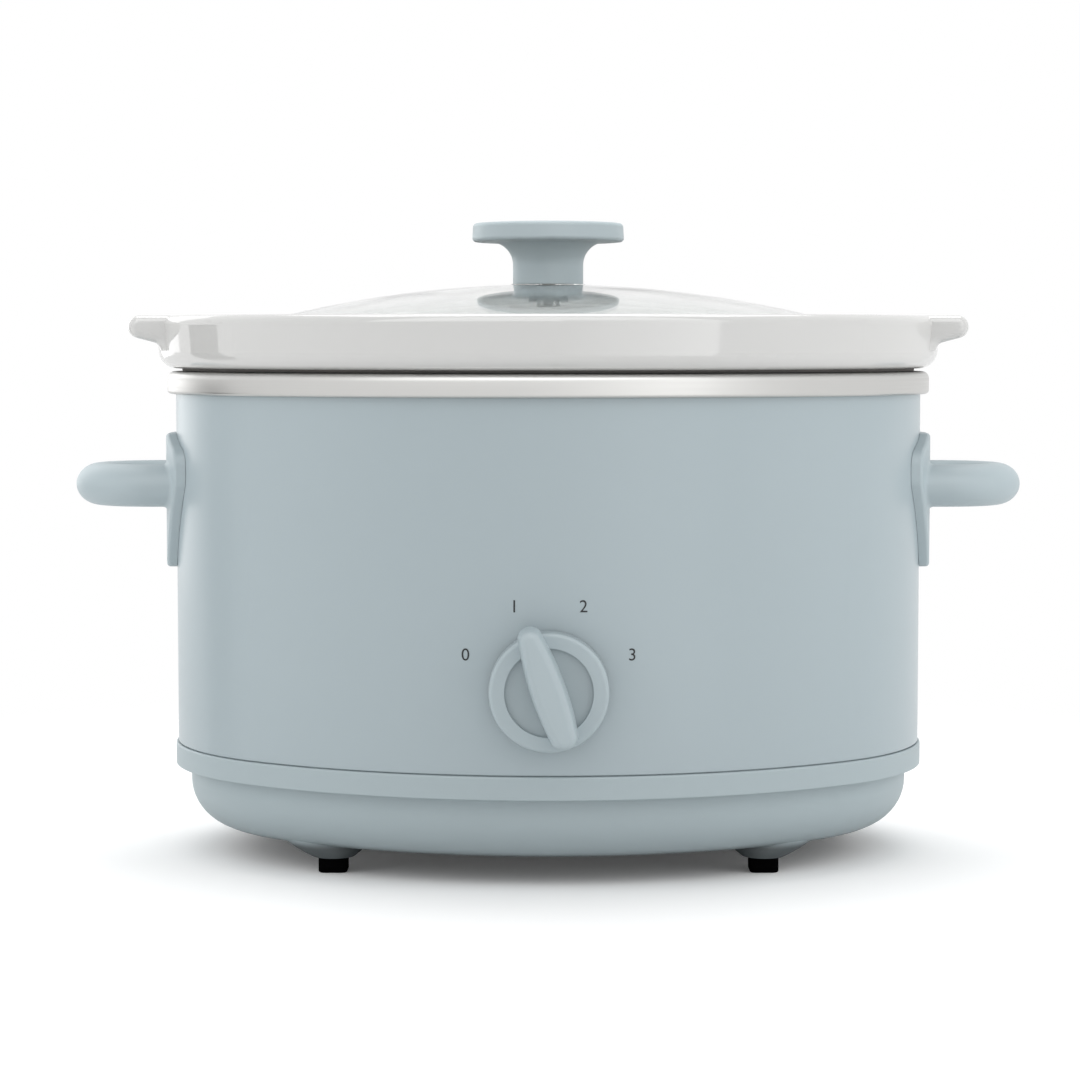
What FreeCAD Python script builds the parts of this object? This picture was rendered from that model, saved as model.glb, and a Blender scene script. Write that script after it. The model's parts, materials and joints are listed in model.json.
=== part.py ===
"""An oval slow cooker: a heated base with a lift-out stoneware crock, a glass lid and a rotary switch.

Millimetres. The origin is the middle of the oval on the table top, +Z is up, the dial faces -Y.
"""
import FreeCAD
import Part
import Sketcher
import math
import os
from types import SimpleNamespace

SIZES = {
    # Outline of the steel wall, seen from above.
    "half_length": 146.0,
    "half_width": 111.0,
    "end_radius": 92.0,
    # Heights that stack up from the table to the metal rim.
    "foot_height": 5.7,
    "boss_height": 4.2,
    "tub_height": 24.3,
    "band_height": 8.4,
    "wall_height": 136.2,
    "rim_height": 8.7,
    # Gaps: between fixed pieces, under lift-out pieces and at the painted wall's lower edge.
    "part_gap": 0.2,
    "seat_gap": 0.3,
    "seam_gap": 0.5,
    # Painted steel wall.
    "wrap_wall": 0.8,
    # Moulded base tub.
    "band_proud": 0.9,
    "tub_inset": 4.9,
    "tub_draft": 1.0,
    "tub_round": 18.0,
    "tub_wall": 2.5,
    "lip_height": 5.0,
    "lip_wall": 2.0,
    "post_radius": 5.0,
    "post_x": 60.0,
    "post_y": 30.0,
    "vent_length": 26.0,
    "vent_width": 3.0,
    "vent_pitch": 8.0,
    "vent_count": 7,
    # Rubber feet and the bosses that they plug into.
    "foot_x": 81.0,
    "foot_y": 62.0,
    "foot_width": 10.9,
    "foot_depth": 13.0,
    "foot_corner": 2.5,
    "foot_edge": 0.8,
    "foot_plug": 3.6,
    "boss_tip_radius": 8.0,
    "boss_bowl_height": 2.0,
    "boss_bowl_radius": 11.9,
    "boss_bowl_x": 1.0,
    "boss_bowl_y": 3.4,
    "boss_base_radius": 21.0,
    "boss_spread_x": 3.0,
    "boss_lean_y": 14.0,
    "boss_root": 4.0,
    # Brushed rim ring.
    "rim_proud": 3.3,
    "rim_width": 8.3,
    "rim_lap": 4.2,
    "rim_round": 2.8,
    "rim_edge": 1.4,
    # Heating pan inside the wall.
    "pan_inset": 6.0,
    "pan_wall": 0.8,
    "pan_draft": 6.0,
    "pan_depth": 131.0,
    "pan_round": 16.0,
    # Heating band round the pan, and the reflector under it.
    "heater_rise": 14.0,
    "heater_height": 30.0,
    "heater_thickness": 1.6,
    "heater_opening": 64.0,
    "shield_drop": 7.0,
    "shield_thickness": 0.8,
    "shield_inset": 13.0,
    # Screws that hold the tub, the reflector and the pan together.
    "screw_radius": 2.0,
    "screw_head_radius": 3.8,
    "screw_head_height": 2.4,
    "nut_radius": 4.0,
    "nut_height": 3.2,
    # Loop handles.
    "handle_drop": 35.5,
    "handle_reach": 39.9,
    "arm_spacing": 44.0,
    "bar_width": 18.5,
    "bar_height": 16.4,
    "plate_proud": 4.0,
    "plate_half_width": 35.5,
    "plate_top_half": 17.0,
    "plate_foot_half": 15.0,
    "plate_up": 20.0,
    "plate_down": 32.2,
    "shoulder_up": 13.0,
    "waist_up": 1.0,
    "plate_corner": 7.0,
    "plate_edge": 1.5,
    "arm_root": 2.0,
    "handle_screw_depth": 14.0,
    # Rotary switch, its saddle behind the wall and its two screws.
    "dial_rise": 31.4,
    "saddle_half_width": 20.0,
    "saddle_half_height": 13.0,
    "saddle_depth": 2.0,
    "switch_half_width": 18.0,
    "switch_half_height": 12.0,
    "switch_depth": 10.0,
    "switch_corner": 3.0,
    "switch_floor": 2.0,
    "bush_radius": 5.0,
    "switch_screw_x": 13.5,
    "switch_screw_radius": 1.5,
    "switch_screw_head": 2.7,
    "switch_screw_head_height": 1.8,
    "switch_screw_grip": 6.0,
    "switch_pilot": 7.0,
    "tab_width": 6.3,
    "tab_thickness": 0.8,
    "tab_length": 8.0,
    "tab_x": 8.0,
    # Dial knob and the shaft that it turns.
    "shaft_radius": 3.0,
    "shaft_flat": 1.9,
    "shaft_gap": 0.05,
    "shaft_grip": 14.0,
    "pointer_angle": 19.0,
    "dial_gap": 0.8,
    "dial_radius": 21.65,
    "dial_ring": 8.5,
    "dial_edge": 1.6,
    "dish_radius": 16.0,
    "dish_depth": 1.3,
    "dial_hollow": 5.0,
    "dial_skirt": 2.2,
    "dial_hub": 7.0,
    "grip_tip": 25.0,
    "grip_tail": 21.2,
    "grip_width": 13.0,
    "grip_tip_width": 8.6,
    "grip_tail_width": 10.4,
    "grip_height": 10.0,
    "grip_cap": 1.08,
    "grip_draft": 5.0,
    "grip_round": 2.8,
    # Stoneware crock.
    "crock_gap": 3.0,
    "crock_clearance": 6.0,
    "crock_wall": 7.2,
    "crock_round": 20.0,
    "crock_step": 0.9,
    "crock_step_inset": 2.5,
    "collar_height": 20.3,
    "collar_flare": 6.0,
    "collar_draft": 5.0,
    "collar_round": 6.8,
    "brim_round": 3.4,
    "recess_inset": 1.5,
    "ledge_depth": 13.1,
    "lug_reach": 17.6,
    "lug_half_width": 40.0,
    "lug_bend": 200.0,
    "lug_nose": 4.3,
    "lug_foot": 6.9,
    "lug_web": 3.2,
    "lug_sink": 1.2,
    "lug_slope": 15.0,
    "lug_fillet": 3.0,
    "ledge_round": 3.0,
    # Glass lid, its knob, screw and washer.
    "lid_gap": 1.3,
    "lid_flange": 9.5,
    "lid_glass": 4.0,
    "lid_height": 25.3,
    "lid_edge": 1.5,
    "lid_seat_radius": 14.6,
    "lid_hole_radius": 3.0,
    "stem_height": 16.5,
    "stem_radius": 13.8,
    "stem_fillet": 9.0,
    "knob_radius": 29.85,
    "knob_disc": 7.2,
    "knob_crown": 0.8,
    "knob_edge": 1.5,
    "lid_screw_radius": 2.4,
    "lid_screw_head": 5.0,
    "lid_screw_head_height": 2.6,
    "lid_screw_grip": 12.0,
    "washer_radius": 8.0,
    "washer_thickness": 1.5,
    # Wiring: gland, terminal block, thermal fuse and leads.
    "gland_rise": 17.0,
    "gland_bore": 3.6,
    "gland_radius": 6.0,
    "gland_flange": 8.5,
    "gland_flange_depth": 2.2,
    "gland_collar": 7.2,
    "gland_length": 7.0,
    "block_half_width": 15.0,
    "block_depth": 14.0,
    "block_height": 12.0,
    "block_y": 58.0,
    "fuse_radius": 2.2,
    "fuse_length": 22.0,
    "fuse_x": 30.0,
    "clip_width": 8.0,
    "clip_thickness": 0.6,
    "clip_foot": 7.0,
    "lead_radius": 1.2,
    "lead_bend": 15.0,
    "lead_short_bend": 6.0,
    "lead_spacing": 4.4,
    "lead_drop": 13.6,
}

doc = FreeCAD.newDocument("slow_cooker")
sheet = doc.addObject("Spreadsheet::Sheet", "Sizes")
for row, (alias, number) in enumerate(SIZES.items(), start=1):
    sheet.set(f"A{row}", alias)
    sheet.set(f"B{row}", str(number))
    sheet.setAlias(f"B{row}", alias)
doc.recompute()


class Size:
    """A length or angle: its number, and the expression that ties it to the sheet."""

    def __init__(self, number, text):
        self.number = float(number)
        self.text = text

    def __add__(self, other):
        other = as_size(other)
        return Size(self.number + other.number, f"({self.text} + {other.text})")

    def __sub__(self, other):
        other = as_size(other)
        return Size(self.number - other.number, f"({self.text} - {other.text})")

    def __mul__(self, other):
        other = as_size(other)
        return Size(self.number * other.number, f"({self.text} * {other.text})")

    def __truediv__(self, other):
        other = as_size(other)
        return Size(self.number / other.number, f"({self.text} / {other.text})")

    def __radd__(self, other):
        return as_size(other) + self

    def __rsub__(self, other):
        return as_size(other) - self

    def __rmul__(self, other):
        return as_size(other) * self

    def __neg__(self):
        return as_size(0) - self


def as_size(value):
    return value if isinstance(value, Size) else Size(value, repr(float(value)))


def tangent(angle):
    return Size(math.tan(math.radians(angle.number)), f"tan({angle.text})")


def arcsine(value):
    return Size(math.degrees(math.asin(value.number)), f"(asin({value.text}) / 1 deg)")


def root(value):
    return Size(math.sqrt(value.number), f"sqrt({value.text})")


d = SimpleNamespace(**{alias: Size(sheet.get(alias), f"Sizes.{alias}") for alias in SIZES})

# The oval is four tangent arcs, so every parallel of it is four arcs about the same centres.
end_shift = d.half_length - d.end_radius
side_drop = d.half_width - d.end_radius
side_shift = (end_shift * end_shift - side_drop * side_drop) / (2 * side_drop)
side_radius = d.half_width + side_shift
joint_cos = end_shift / (side_radius - d.end_radius)
joint_sin = side_shift / (side_radius - d.end_radius)

# Heights above the table.
tub_bottom = d.foot_height + d.boss_height
band_bottom = tub_bottom + d.tub_height
seam = band_bottom + d.band_height
rim_bottom = seam + d.wall_height
rim_top = rim_bottom + d.rim_height
pan_bottom = rim_bottom - d.pan_depth
pan_floor = pan_bottom + d.pan_wall
crock_seat = rim_top + d.seat_gap
collar_bottom = crock_seat + d.crock_step
crock_top = collar_bottom + d.collar_height
crock_bottom = pan_floor + d.crock_clearance
crock_floor = crock_bottom + d.crock_wall
ledge = crock_top - d.ledge_depth
lid_seat = ledge + d.seat_gap
lid_top = lid_seat + d.lid_height
knob_disc_bottom = lid_top + d.stem_height
handle_z = rim_bottom - d.handle_drop

# The crock's lugs are bent about an axis of their own, with a flatter curve than the oval's ends.
lug_shift = d.half_length + d.lug_reach - d.lug_bend
lug_angle = 2 * arcsine(d.lug_half_width / d.lug_bend)
dial_z = seam + d.dial_rise
shield_top = pan_bottom - d.shield_drop
shield_bottom = shield_top - d.shield_thickness
heater_bottom = pan_bottom + d.heater_rise
gland_z = seam + d.gland_rise
tub_floor = tub_bottom + d.tub_wall
lead_z = tub_floor + d.block_height / 2


def vector(x=0.0, y=0.0, z=0.0):
    return FreeCAD.Vector(x, y, z)


def bind(thing, prop, size):
    """Tie one property to the sheet."""
    thing.setExpression(prop, as_size(size).text)


def new_body(label, many=False):
    body = doc.addObject("PartDesign::Body", label)
    body.Label = label
    if many:
        body.AllowCompound = True
    return body


def origin_plane(body, role):
    return next(item for item in body.Origin.OriginFeatures if item.Role == role)


def new_sketch(body, role, lift=0.0, centre=(0.0, 0.0), spin=None):
    """Sketch on an origin plane, lifted along the plane's normal, moved and turned in the plane."""
    sketch = body.newObject("Sketcher::SketchObject", f"{body.Name}_sketch")
    sketch.AttachmentSupport = [(origin_plane(body, role), "")]
    sketch.MapMode = "FlatFace"
    offsets = [as_size(value) for value in (centre[0], centre[1], lift)]
    turn = as_size(spin if spin is not None else 0.0)
    base = vector(*(size.number for size in offsets))
    sketch.AttachmentOffset = FreeCAD.Placement(base, FreeCAD.Rotation(vector(z=1), turn.number))
    for axis, size in zip("xyz", offsets):
        bind(sketch, f"AttachmentOffset.Base.{axis}", size)
    if spin is not None:
        bind(sketch, "AttachmentOffset.Rotation.Angle", turn)
    return sketch


def dimension(sketch, kind, places, size):
    index = sketch.addConstraint(Sketcher.Constraint(kind, *places, size.number))
    bind(sketch, f"Constraints[{index}]", size)


def locate(sketch, geometry, point, corner):
    """Hold one point of a sketch at its two distances from the sketch's origin."""
    for kind, axis, value in (("DistanceX", -2, corner[0]), ("DistanceY", -1, corner[1])):
        size = as_size(value)
        if size.number == 0:
            sketch.addConstraint(Sketcher.Constraint("PointOnObject", geometry, point, axis))
        elif size.number > 0:
            dimension(sketch, kind, (-1, 1, geometry, point), size)
        else:
            dimension(sketch, kind, (geometry, point, -1, 1), -size)


def arc_between(start, end, radius, outward):
    """Arc shorter than a half circle; outward means bulging to the right of start to end."""
    chord = end - start
    reach = math.sqrt(max(radius * radius - chord.Length * chord.Length / 4, 0.0))
    left = vector(-chord.y, chord.x).normalize()
    centre = (start + end) / 2 + left * (reach if outward else -reach)
    first, last = (start, end) if outward else (end, start)
    angles = [math.atan2(point.y - centre.y, point.x - centre.x) for point in (first, last)]
    if angles[1] < angles[0]:
        angles[1] += 2 * math.pi
    return Part.ArcOfCircle(Part.Circle(centre, vector(z=1), radius), *angles)


def outline(sketch, corners, arcs=None, inward=(), closed=True):
    """Lines and arcs through the corners, walked anticlockwise.

    arcs gives the radius of the edge that leaves a corner, by the corner's number, and inward
    lists the arcs that bulge into the outline. Every corner is held by its two distances.
    """
    arcs = arcs or {}
    sizes = [(as_size(x), as_size(y)) for x, y in corners]
    points = [vector(x.number, y.number) for x, y in sizes]
    count = len(points) if closed else len(points) - 1
    ends = []
    for index in range(count):
        start = points[index]
        end = points[(index + 1) % len(points)]
        if index in arcs:
            outward = index not in inward
            geometry = sketch.addGeometry(arc_between(start, end, arcs[index].number, outward), False)
            ends.append((geometry, 1, 2) if outward else (geometry, 2, 1))
            dimension(sketch, "Radius", (geometry,), arcs[index])
        else:
            geometry = sketch.addGeometry(Part.LineSegment(start, end), False)
            ends.append((geometry, 1, 2))
    for index in range(count if closed else count - 1):
        here = ends[index]
        after = ends[(index + 1) % count]
        sketch.addConstraint(Sketcher.Constraint("Coincident", here[0], here[2], after[0], after[1]))
    for index in range(count):
        locate(sketch, ends[index][0], ends[index][1], sizes[index])
    if not closed:
        locate(sketch, ends[-1][0], ends[-1][2], sizes[-1])
    return sketch


def circle(sketch, radius, centre=(0.0, 0.0)):
    sizes = [as_size(value) for value in centre]
    middle = vector(sizes[0].number, sizes[1].number)
    geometry = sketch.addGeometry(Part.Circle(middle, vector(z=1), radius.number), False)
    dimension(sketch, "Radius", (geometry,), radius)
    locate(sketch, geometry, 3, sizes)
    return sketch


def rectangle(sketch, half_x, half_y, centre=(0.0, 0.0)):
    x, y = (as_size(value) for value in centre)
    low = y - half_y
    high = y + half_y
    return outline(sketch, [(x - half_x, low), (x + half_x, low), (x + half_x, high), (x - half_x, high)])


def rounded_rectangle(sketch, half_x, half_y, corner, centre=(0.0, 0.0)):
    """Rectangle with quarter-circle corners."""
    x, y = (as_size(value) for value in centre)
    inner_x = half_x - corner
    inner_y = half_y - corner
    corners = [
        (x - inner_x, y - half_y), (x + inner_x, y - half_y),
        (x + half_x, y - inner_y), (x + half_x, y + inner_y),
        (x + inner_x, y + half_y), (x - inner_x, y + half_y),
        (x - half_x, y + inner_y), (x - half_x, y - inner_y),
    ]
    return outline(sketch, corners, {1: corner, 3: corner, 5: corner, 7: corner})


def hexagon(sketch, radius, centre):
    """Hexagon with two flats facing left and right."""
    corners = []
    for turn in range(30, 390, 60):
        angle = math.radians(turn)
        corners.append((centre[0] + radius * math.cos(angle), centre[1] + radius * math.sin(angle)))
    return outline(sketch, corners)


def oval(sketch, offset):
    """The wall's oval, or a parallel of it."""
    radius = d.end_radius + offset
    x = end_shift + radius * joint_cos
    y = radius * joint_sin
    sides = side_radius + offset
    return outline(sketch, [(x, -y), (x, y), (-x, y), (-x, -y)], {0: radius, 1: sides, 2: radius, 3: sides})


def oval_sketch(body, height, *offsets):
    """Sketch at a height with one oval, or two for a ring."""
    sketch = new_sketch(body, "XY_Plane", height)
    for offset in offsets:
        oval(sketch, as_size(offset))
    return sketch


def finish(body, feature):
    doc.recompute()
    body.Tip = feature
    return feature


def pad(body, sketch, length, draft=None, back=False):
    """Raise a sketch along its normal, or against it when back is set. A draft above 0 widens it."""
    feature = body.newObject("PartDesign::Pad", f"{body.Name}_pad")
    feature.Profile = sketch
    feature.Reversed = back
    bind(feature, "Length", length)
    if draft is not None:
        bind(feature, "TaperAngle", draft)
    return finish(body, feature)


def pocket(body, sketch, depth, draft=None, back=False):
    """Cut a sketch against its normal, or along it when back is set, and make sure that it cuts."""
    before = body.Tip.Shape.Volume
    feature = body.newObject("PartDesign::Pocket", f"{body.Name}_pocket")
    feature.Profile = sketch
    feature.Reversed = back
    bind(feature, "Length", depth)
    if draft is not None:
        bind(feature, "TaperAngle", draft)
    finish(body, feature)
    if feature.Shape.Volume > before - 1e-3:
        raise ValueError(f"{feature.Name} cuts nothing")
    return feature


def revolve(body, sketch, axis, angle=360.0):
    feature = body.newObject("PartDesign::Revolution", f"{body.Name}_revolution")
    feature.Profile = sketch
    feature.ReferenceAxis = (sketch, [axis])
    bind(feature, "Angle", as_size(angle))
    feature.Midplane = as_size(angle).number < 360.0
    return finish(body, feature)


def sweep(body, sketch, spine):
    feature = body.newObject("PartDesign::AdditivePipe", f"{body.Name}_pipe")
    feature.Profile = sketch
    feature.Spine = (spine, [f"Edge{number + 1}" for number in range(spine.GeometryCount)])
    return finish(body, feature)


def loft(body, first, others):
    feature = body.newObject("PartDesign::AdditiveLoft", f"{body.Name}_loft")
    feature.Profile = first
    feature.Sections = others
    return finish(body, feature)


def fillet(body, radius, choose):
    """Round the edges of the body so far that choose accepts."""
    base = body.Tip
    names = [f"Edge{number}" for number, edge in enumerate(base.Shape.Edges, start=1) if choose(edge)]
    if not names:
        raise ValueError(f"{body.Label} has no edge to round")
    feature = body.newObject("PartDesign::Fillet", f"{body.Name}_fillet")
    feature.Base = (base, names)
    feature.Refine = False
    bind(feature, "Radius", radius)
    return finish(body, feature)


def oval_block(body, top, offset, depth, draft, rounding):
    """Oval block that hangs from its top, narrows by its draft and has a rounded lower edge."""
    pad(body, oval_sketch(body, top, offset), depth, -draft, back=True)
    fillet(body, rounding, on_oval(top - depth, offset - depth * tangent(draft)))


def combine(body, tool, kind):
    """Join a tool body to the body so far, or cut it away."""
    feature = body.newObject("PartDesign::Boolean", f"{body.Name}_boolean")
    feature.Type = kind
    feature.addObject(tool)
    return finish(body, feature)


def hollow(body, top, offset, depth, draft, rounding):
    """Cut an oval block out of the body so far."""
    core = new_body(f"{body.Name}_core")
    oval_block(core, top, offset, depth, draft, rounding)
    return combine(body, core, "Cut")


def middle_of(edge):
    return edge.valueAt((edge.FirstParameter + edge.LastParameter) / 2)


def wall_offset(point):
    """How far a point lies outside the wall's oval, seen from above."""
    x = abs(point.x)
    y = abs(point.y)
    if (x - end_shift.number) * side_shift.number > y * end_shift.number:
        return math.hypot(x - end_shift.number, y) - d.end_radius.number
    return math.hypot(x, y + side_shift.number) - side_radius.number


def on_oval(height, offset, slack=0.05):
    """Test for the edges of one oval at one height."""
    height = as_size(height).number
    offset = as_size(offset).number

    def test(edge):
        box = edge.BoundBox
        level = abs(box.ZMin - height) < slack and abs(box.ZMax - height) < slack
        return level and abs(wall_offset(middle_of(edge)) - offset) < slack

    return test


def at_level(axis, value, slack=0.01):
    """Test for edges that lie in the plane where the axis has one value."""
    value = as_size(value).number

    def test(edge):
        box = edge.BoundBox
        reaches = (getattr(box, f"{axis}Min"), getattr(box, f"{axis}Max"))
        return all(abs(reach - value) < slack for reach in reaches)

    return test


def screw(body, sketch, head_radius, head_height, shank_radius, shank_length):
    """Round-headed screw along the sketch's X axis, its head behind the sketch's origin."""
    corners = [
        (-head_height, 0), (shank_length, 0), (shank_length, shank_radius),
        (0, shank_radius), (0, head_radius), (-head_height, head_radius),
    ]
    outline(sketch, corners)
    return revolve(body, sketch, "H_Axis")


def drill(body, sketch, radius, start, end):
    """Round hole along the sketch's X axis."""
    before = body.Tip.Shape.Volume
    outline(sketch, [(start, 0), (end, 0), (end, radius), (start, radius)])
    feature = body.newObject("PartDesign::Groove", f"{body.Name}_groove")
    feature.Profile = sketch
    feature.ReferenceAxis = (sketch, ["H_Axis"])
    feature.Angle = 360.0
    finish(body, feature)
    if feature.Shape.Volume > before - 1e-3:
        raise ValueError(f"{feature.Name} cuts nothing")
    return feature


CORNERS = [(-1, -1), (1, -1), (-1, 1), (1, 1)]
pan_slope = tangent(d.pan_draft)

# Handle screws stand square to the wall's end arc, in line with the arms.
screw_sin = d.arm_spacing / 2 / d.end_radius
screw_cos = root(1 - screw_sin * screw_sin)
screw_turn = arcsine(screw_sin)

# Distances in front of the middle of the oval: switch, saddle, wall and dial, from inside out.
saddle_back = d.half_width - d.wrap_wall - d.saddle_depth
switch_back = saddle_back - d.switch_depth
dial_back = d.half_width + d.dial_gap
dial_face = dial_back + d.dial_ring
dish_face = dial_face - d.dish_depth
shaft_end = switch_back + d.switch_floor
tab_front = switch_back + d.switch_floor


def pan_offset(height):
    """Outside of the heating pan, measured from the wall's oval."""
    return -d.pan_inset - (rim_bottom - height) * pan_slope


def make_outer_wrap():
    """Painted steel wall, from the band's seam up into the rim's groove."""
    body = new_body("outer_wrap")
    bottom = seam + d.seam_gap
    top = rim_bottom + d.rim_lap - d.part_gap
    pad(body, oval_sketch(body, bottom, 0, -d.wrap_wall), top - bottom)
    front = new_sketch(body, "XZ_Plane", 0, (0, dial_z))
    circle(front, d.bush_radius + d.part_gap)
    for side in (-1, 1):
        circle(front, d.switch_screw_radius + d.part_gap, (side * d.switch_screw_x, 0))
    pocket(body, front, d.half_width + d.wrap_wall, back=True)
    for back in (False, True):
        holes = new_sketch(body, "YZ_Plane", 0, (0, handle_z))
        for side in (-1, 1):
            circle(holes, d.screw_radius + 3 * d.part_gap, (side * d.arm_spacing / 2, 0))
        pocket(body, holes, d.half_length + d.wrap_wall, back=back)
    rear = new_sketch(body, "XZ_Plane", 0, (0, gland_z))
    circle(rear, d.gland_radius + d.part_gap)
    pocket(body, rear, d.half_width + d.wrap_wall)
    return body


def make_rim_ring():
    """Brushed ring over the top edge of the wall, on the flange of the pan."""
    body = new_body("rim_ring")
    inner = d.rim_proud - d.rim_width
    pad(body, oval_sketch(body, rim_bottom, d.rim_proud, inner), d.rim_height)
    groove = oval_sketch(body, rim_bottom, d.part_gap, -d.wrap_wall - d.part_gap)
    pocket(body, groove, d.rim_lap, back=True)
    fillet(body, d.rim_round, on_oval(rim_top, d.rim_proud))
    fillet(body, d.rim_edge, on_oval(rim_bottom, d.rim_proud))
    fillet(body, d.rim_edge, on_oval(rim_top, inner))
    return body


def make_base_tub():
    """Moulded tub: a band under the wall, a rounded floor with bosses, posts and vents."""
    body = new_body("base_tub")
    floor = tub_floor
    inside = -d.tub_inset - d.tub_wall
    oval_block(body, band_bottom, -d.tub_inset, d.tub_height, d.tub_draft, d.tub_round)
    hollow(body, band_bottom, inside, band_bottom - floor, d.tub_draft, d.tub_round - d.tub_wall)
    for side_x, side_y in CORNERS:
        tip = new_sketch(body, "XY_Plane", d.foot_height)
        circle(tip, d.boss_tip_radius, (side_x * d.foot_x, side_y * d.foot_y))
        bowl = new_sketch(body, "XY_Plane", d.foot_height + d.boss_bowl_height)
        place = (side_x * (d.foot_x + d.boss_bowl_x), side_y * (d.foot_y - d.boss_bowl_y))
        circle(bowl, d.boss_bowl_radius, place)
        base = new_sketch(body, "XY_Plane", tub_bottom + d.boss_root)
        place = (side_x * (d.foot_x + d.boss_spread_x), side_y * (d.foot_y - d.boss_lean_y))
        circle(base, d.boss_base_radius, place)
        loft(body, tip, [bowl, base])
    lip_outside = -d.wrap_wall - d.part_gap
    lip_inside = lip_outside - d.lip_wall
    pad(body, oval_sketch(body, band_bottom, d.band_proud, inside), d.tub_wall)
    pad(body, oval_sketch(body, band_bottom, d.band_proud, lip_inside), d.band_height)
    pad(body, oval_sketch(body, seam, lip_outside, lip_inside), d.lip_height)
    posts = new_sketch(body, "XY_Plane", floor)
    for side_x, side_y in CORNERS:
        circle(posts, d.post_radius, (side_x * d.post_x, side_y * d.post_y))
    pad(body, posts, shield_bottom - floor)
    bores = new_sketch(body, "XY_Plane", shield_bottom)
    heads = new_sketch(body, "XY_Plane", tub_bottom)
    for side_x, side_y in CORNERS:
        place = (side_x * d.post_x, side_y * d.post_y)
        circle(bores, d.screw_radius + d.part_gap, place)
        circle(heads, d.screw_head_radius + d.part_gap, place)
    pocket(body, bores, shield_bottom - tub_bottom)
    pocket(body, heads, d.screw_head_height + d.part_gap, back=True)
    sockets = new_sketch(body, "XY_Plane", d.foot_height)
    for side_x, side_y in CORNERS:
        rounded_rectangle(
            sockets, d.foot_width / 2 + d.part_gap, d.foot_depth / 2 + d.part_gap, d.foot_corner,
            (side_x * d.foot_x, side_y * d.foot_y))
    pocket(body, sockets, d.foot_plug, back=True)
    vents = new_sketch(body, "XY_Plane", floor)
    count = int(round(d.vent_count.number))
    for index in range(count):
        step = (index - (count - 1) / 2) * d.vent_pitch
        rectangle(vents, d.vent_width / 2, d.vent_length / 2, (step, 0))
    pocket(body, vents, d.tub_wall)
    fillet(body, d.foot_edge, on_oval(seam, d.band_proud))
    return body


def make_heating_pan():
    """Drawn pan that holds the crock, with a flange under the rim ring."""
    body = new_body("heating_pan")
    inside = -d.pan_inset - d.pan_wall
    oval_block(body, rim_bottom, -d.pan_inset, d.pan_depth, d.pan_draft, d.pan_round)
    hollow(body, rim_bottom, inside, d.pan_depth - d.pan_wall, d.pan_draft, d.pan_round - d.pan_wall)
    flange = oval_sketch(body, rim_bottom, -d.wrap_wall - d.part_gap, -d.pan_inset - d.pan_wall / 2)
    pad(body, flange, d.pan_wall, back=True)
    holes = new_sketch(body, "XY_Plane", pan_floor)
    for side_x, side_y in CORNERS:
        circle(holes, d.screw_radius + d.part_gap, (side_x * d.post_x, side_y * d.post_y))
    pocket(body, holes, d.pan_wall)
    return body


def make_heater_band():
    """Heating band round the lower wall of the pan, open at the front for the switch."""
    body = new_body("heater_band")
    inner = pan_offset(heater_bottom) + d.part_gap
    top = heater_bottom + d.heater_height
    pad(body, oval_sketch(body, heater_bottom, inner + d.heater_thickness), d.heater_height, d.pan_draft)
    bore = oval_sketch(body, top, inner + d.heater_height * pan_slope)
    pocket(body, bore, d.heater_height, -d.pan_draft)
    opening = new_sketch(body, "XZ_Plane", 0, (0, heater_bottom + d.heater_height / 2))
    rectangle(opening, d.heater_opening / 2, d.heater_height)
    pocket(body, opening, d.half_width, back=True)
    return body


def make_heat_shield():
    """Reflector plate between the pan and the tub, on the tub's posts."""
    body = new_body("heat_shield")
    pad(body, oval_sketch(body, shield_bottom, -d.tub_inset - d.shield_inset), d.shield_thickness)
    holes = new_sketch(body, "XY_Plane", shield_top)
    for side_x, side_y in CORNERS:
        circle(holes, d.screw_radius + d.part_gap, (side_x * d.post_x, side_y * d.post_y))
    pocket(body, holes, d.shield_thickness)
    return body


def make_base_fasteners():
    """Four screws from below, four spacers over the reflector and four nuts in the pan."""
    screws = new_body("base_screws", many=True)
    spacers = new_body("shield_spacers", many=True)
    nuts = new_body("base_nuts", many=True)
    head_seat = tub_bottom + d.screw_head_height
    heads = new_sketch(screws, "XY_Plane", tub_bottom)
    shanks = new_sketch(screws, "XY_Plane", head_seat)
    tubes = new_sketch(spacers, "XY_Plane", shield_top)
    hexagons = new_sketch(nuts, "XY_Plane", pan_floor)
    for side_x, side_y in CORNERS:
        place = (side_x * d.post_x, side_y * d.post_y)
        circle(heads, d.screw_head_radius, place)
        circle(shanks, d.screw_radius, place)
        circle(tubes, d.post_radius, place)
        circle(tubes, d.screw_radius + d.part_gap, place)
        hexagon(hexagons, d.nut_radius, place)
        circle(hexagons, d.screw_radius + d.shaft_gap, place)
    pad(screws, heads, d.screw_head_height)
    pad(screws, shanks, pan_floor + d.nut_height - head_seat)
    pad(spacers, tubes, d.shield_drop)
    pad(nuts, hexagons, d.nut_height)
    return [screws, spacers, nuts]


def make_foot(label, side_x, side_y):
    """Rubber foot plugged into its boss."""
    body = new_body(label)
    block = new_sketch(body, "XY_Plane")
    place = (side_x * d.foot_x, side_y * d.foot_y)
    rounded_rectangle(block, d.foot_width / 2, d.foot_depth / 2, d.foot_corner, place)
    pad(body, block, d.foot_height + d.foot_plug)
    fillet(body, d.foot_edge, at_level("Z", 0))
    return body


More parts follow.
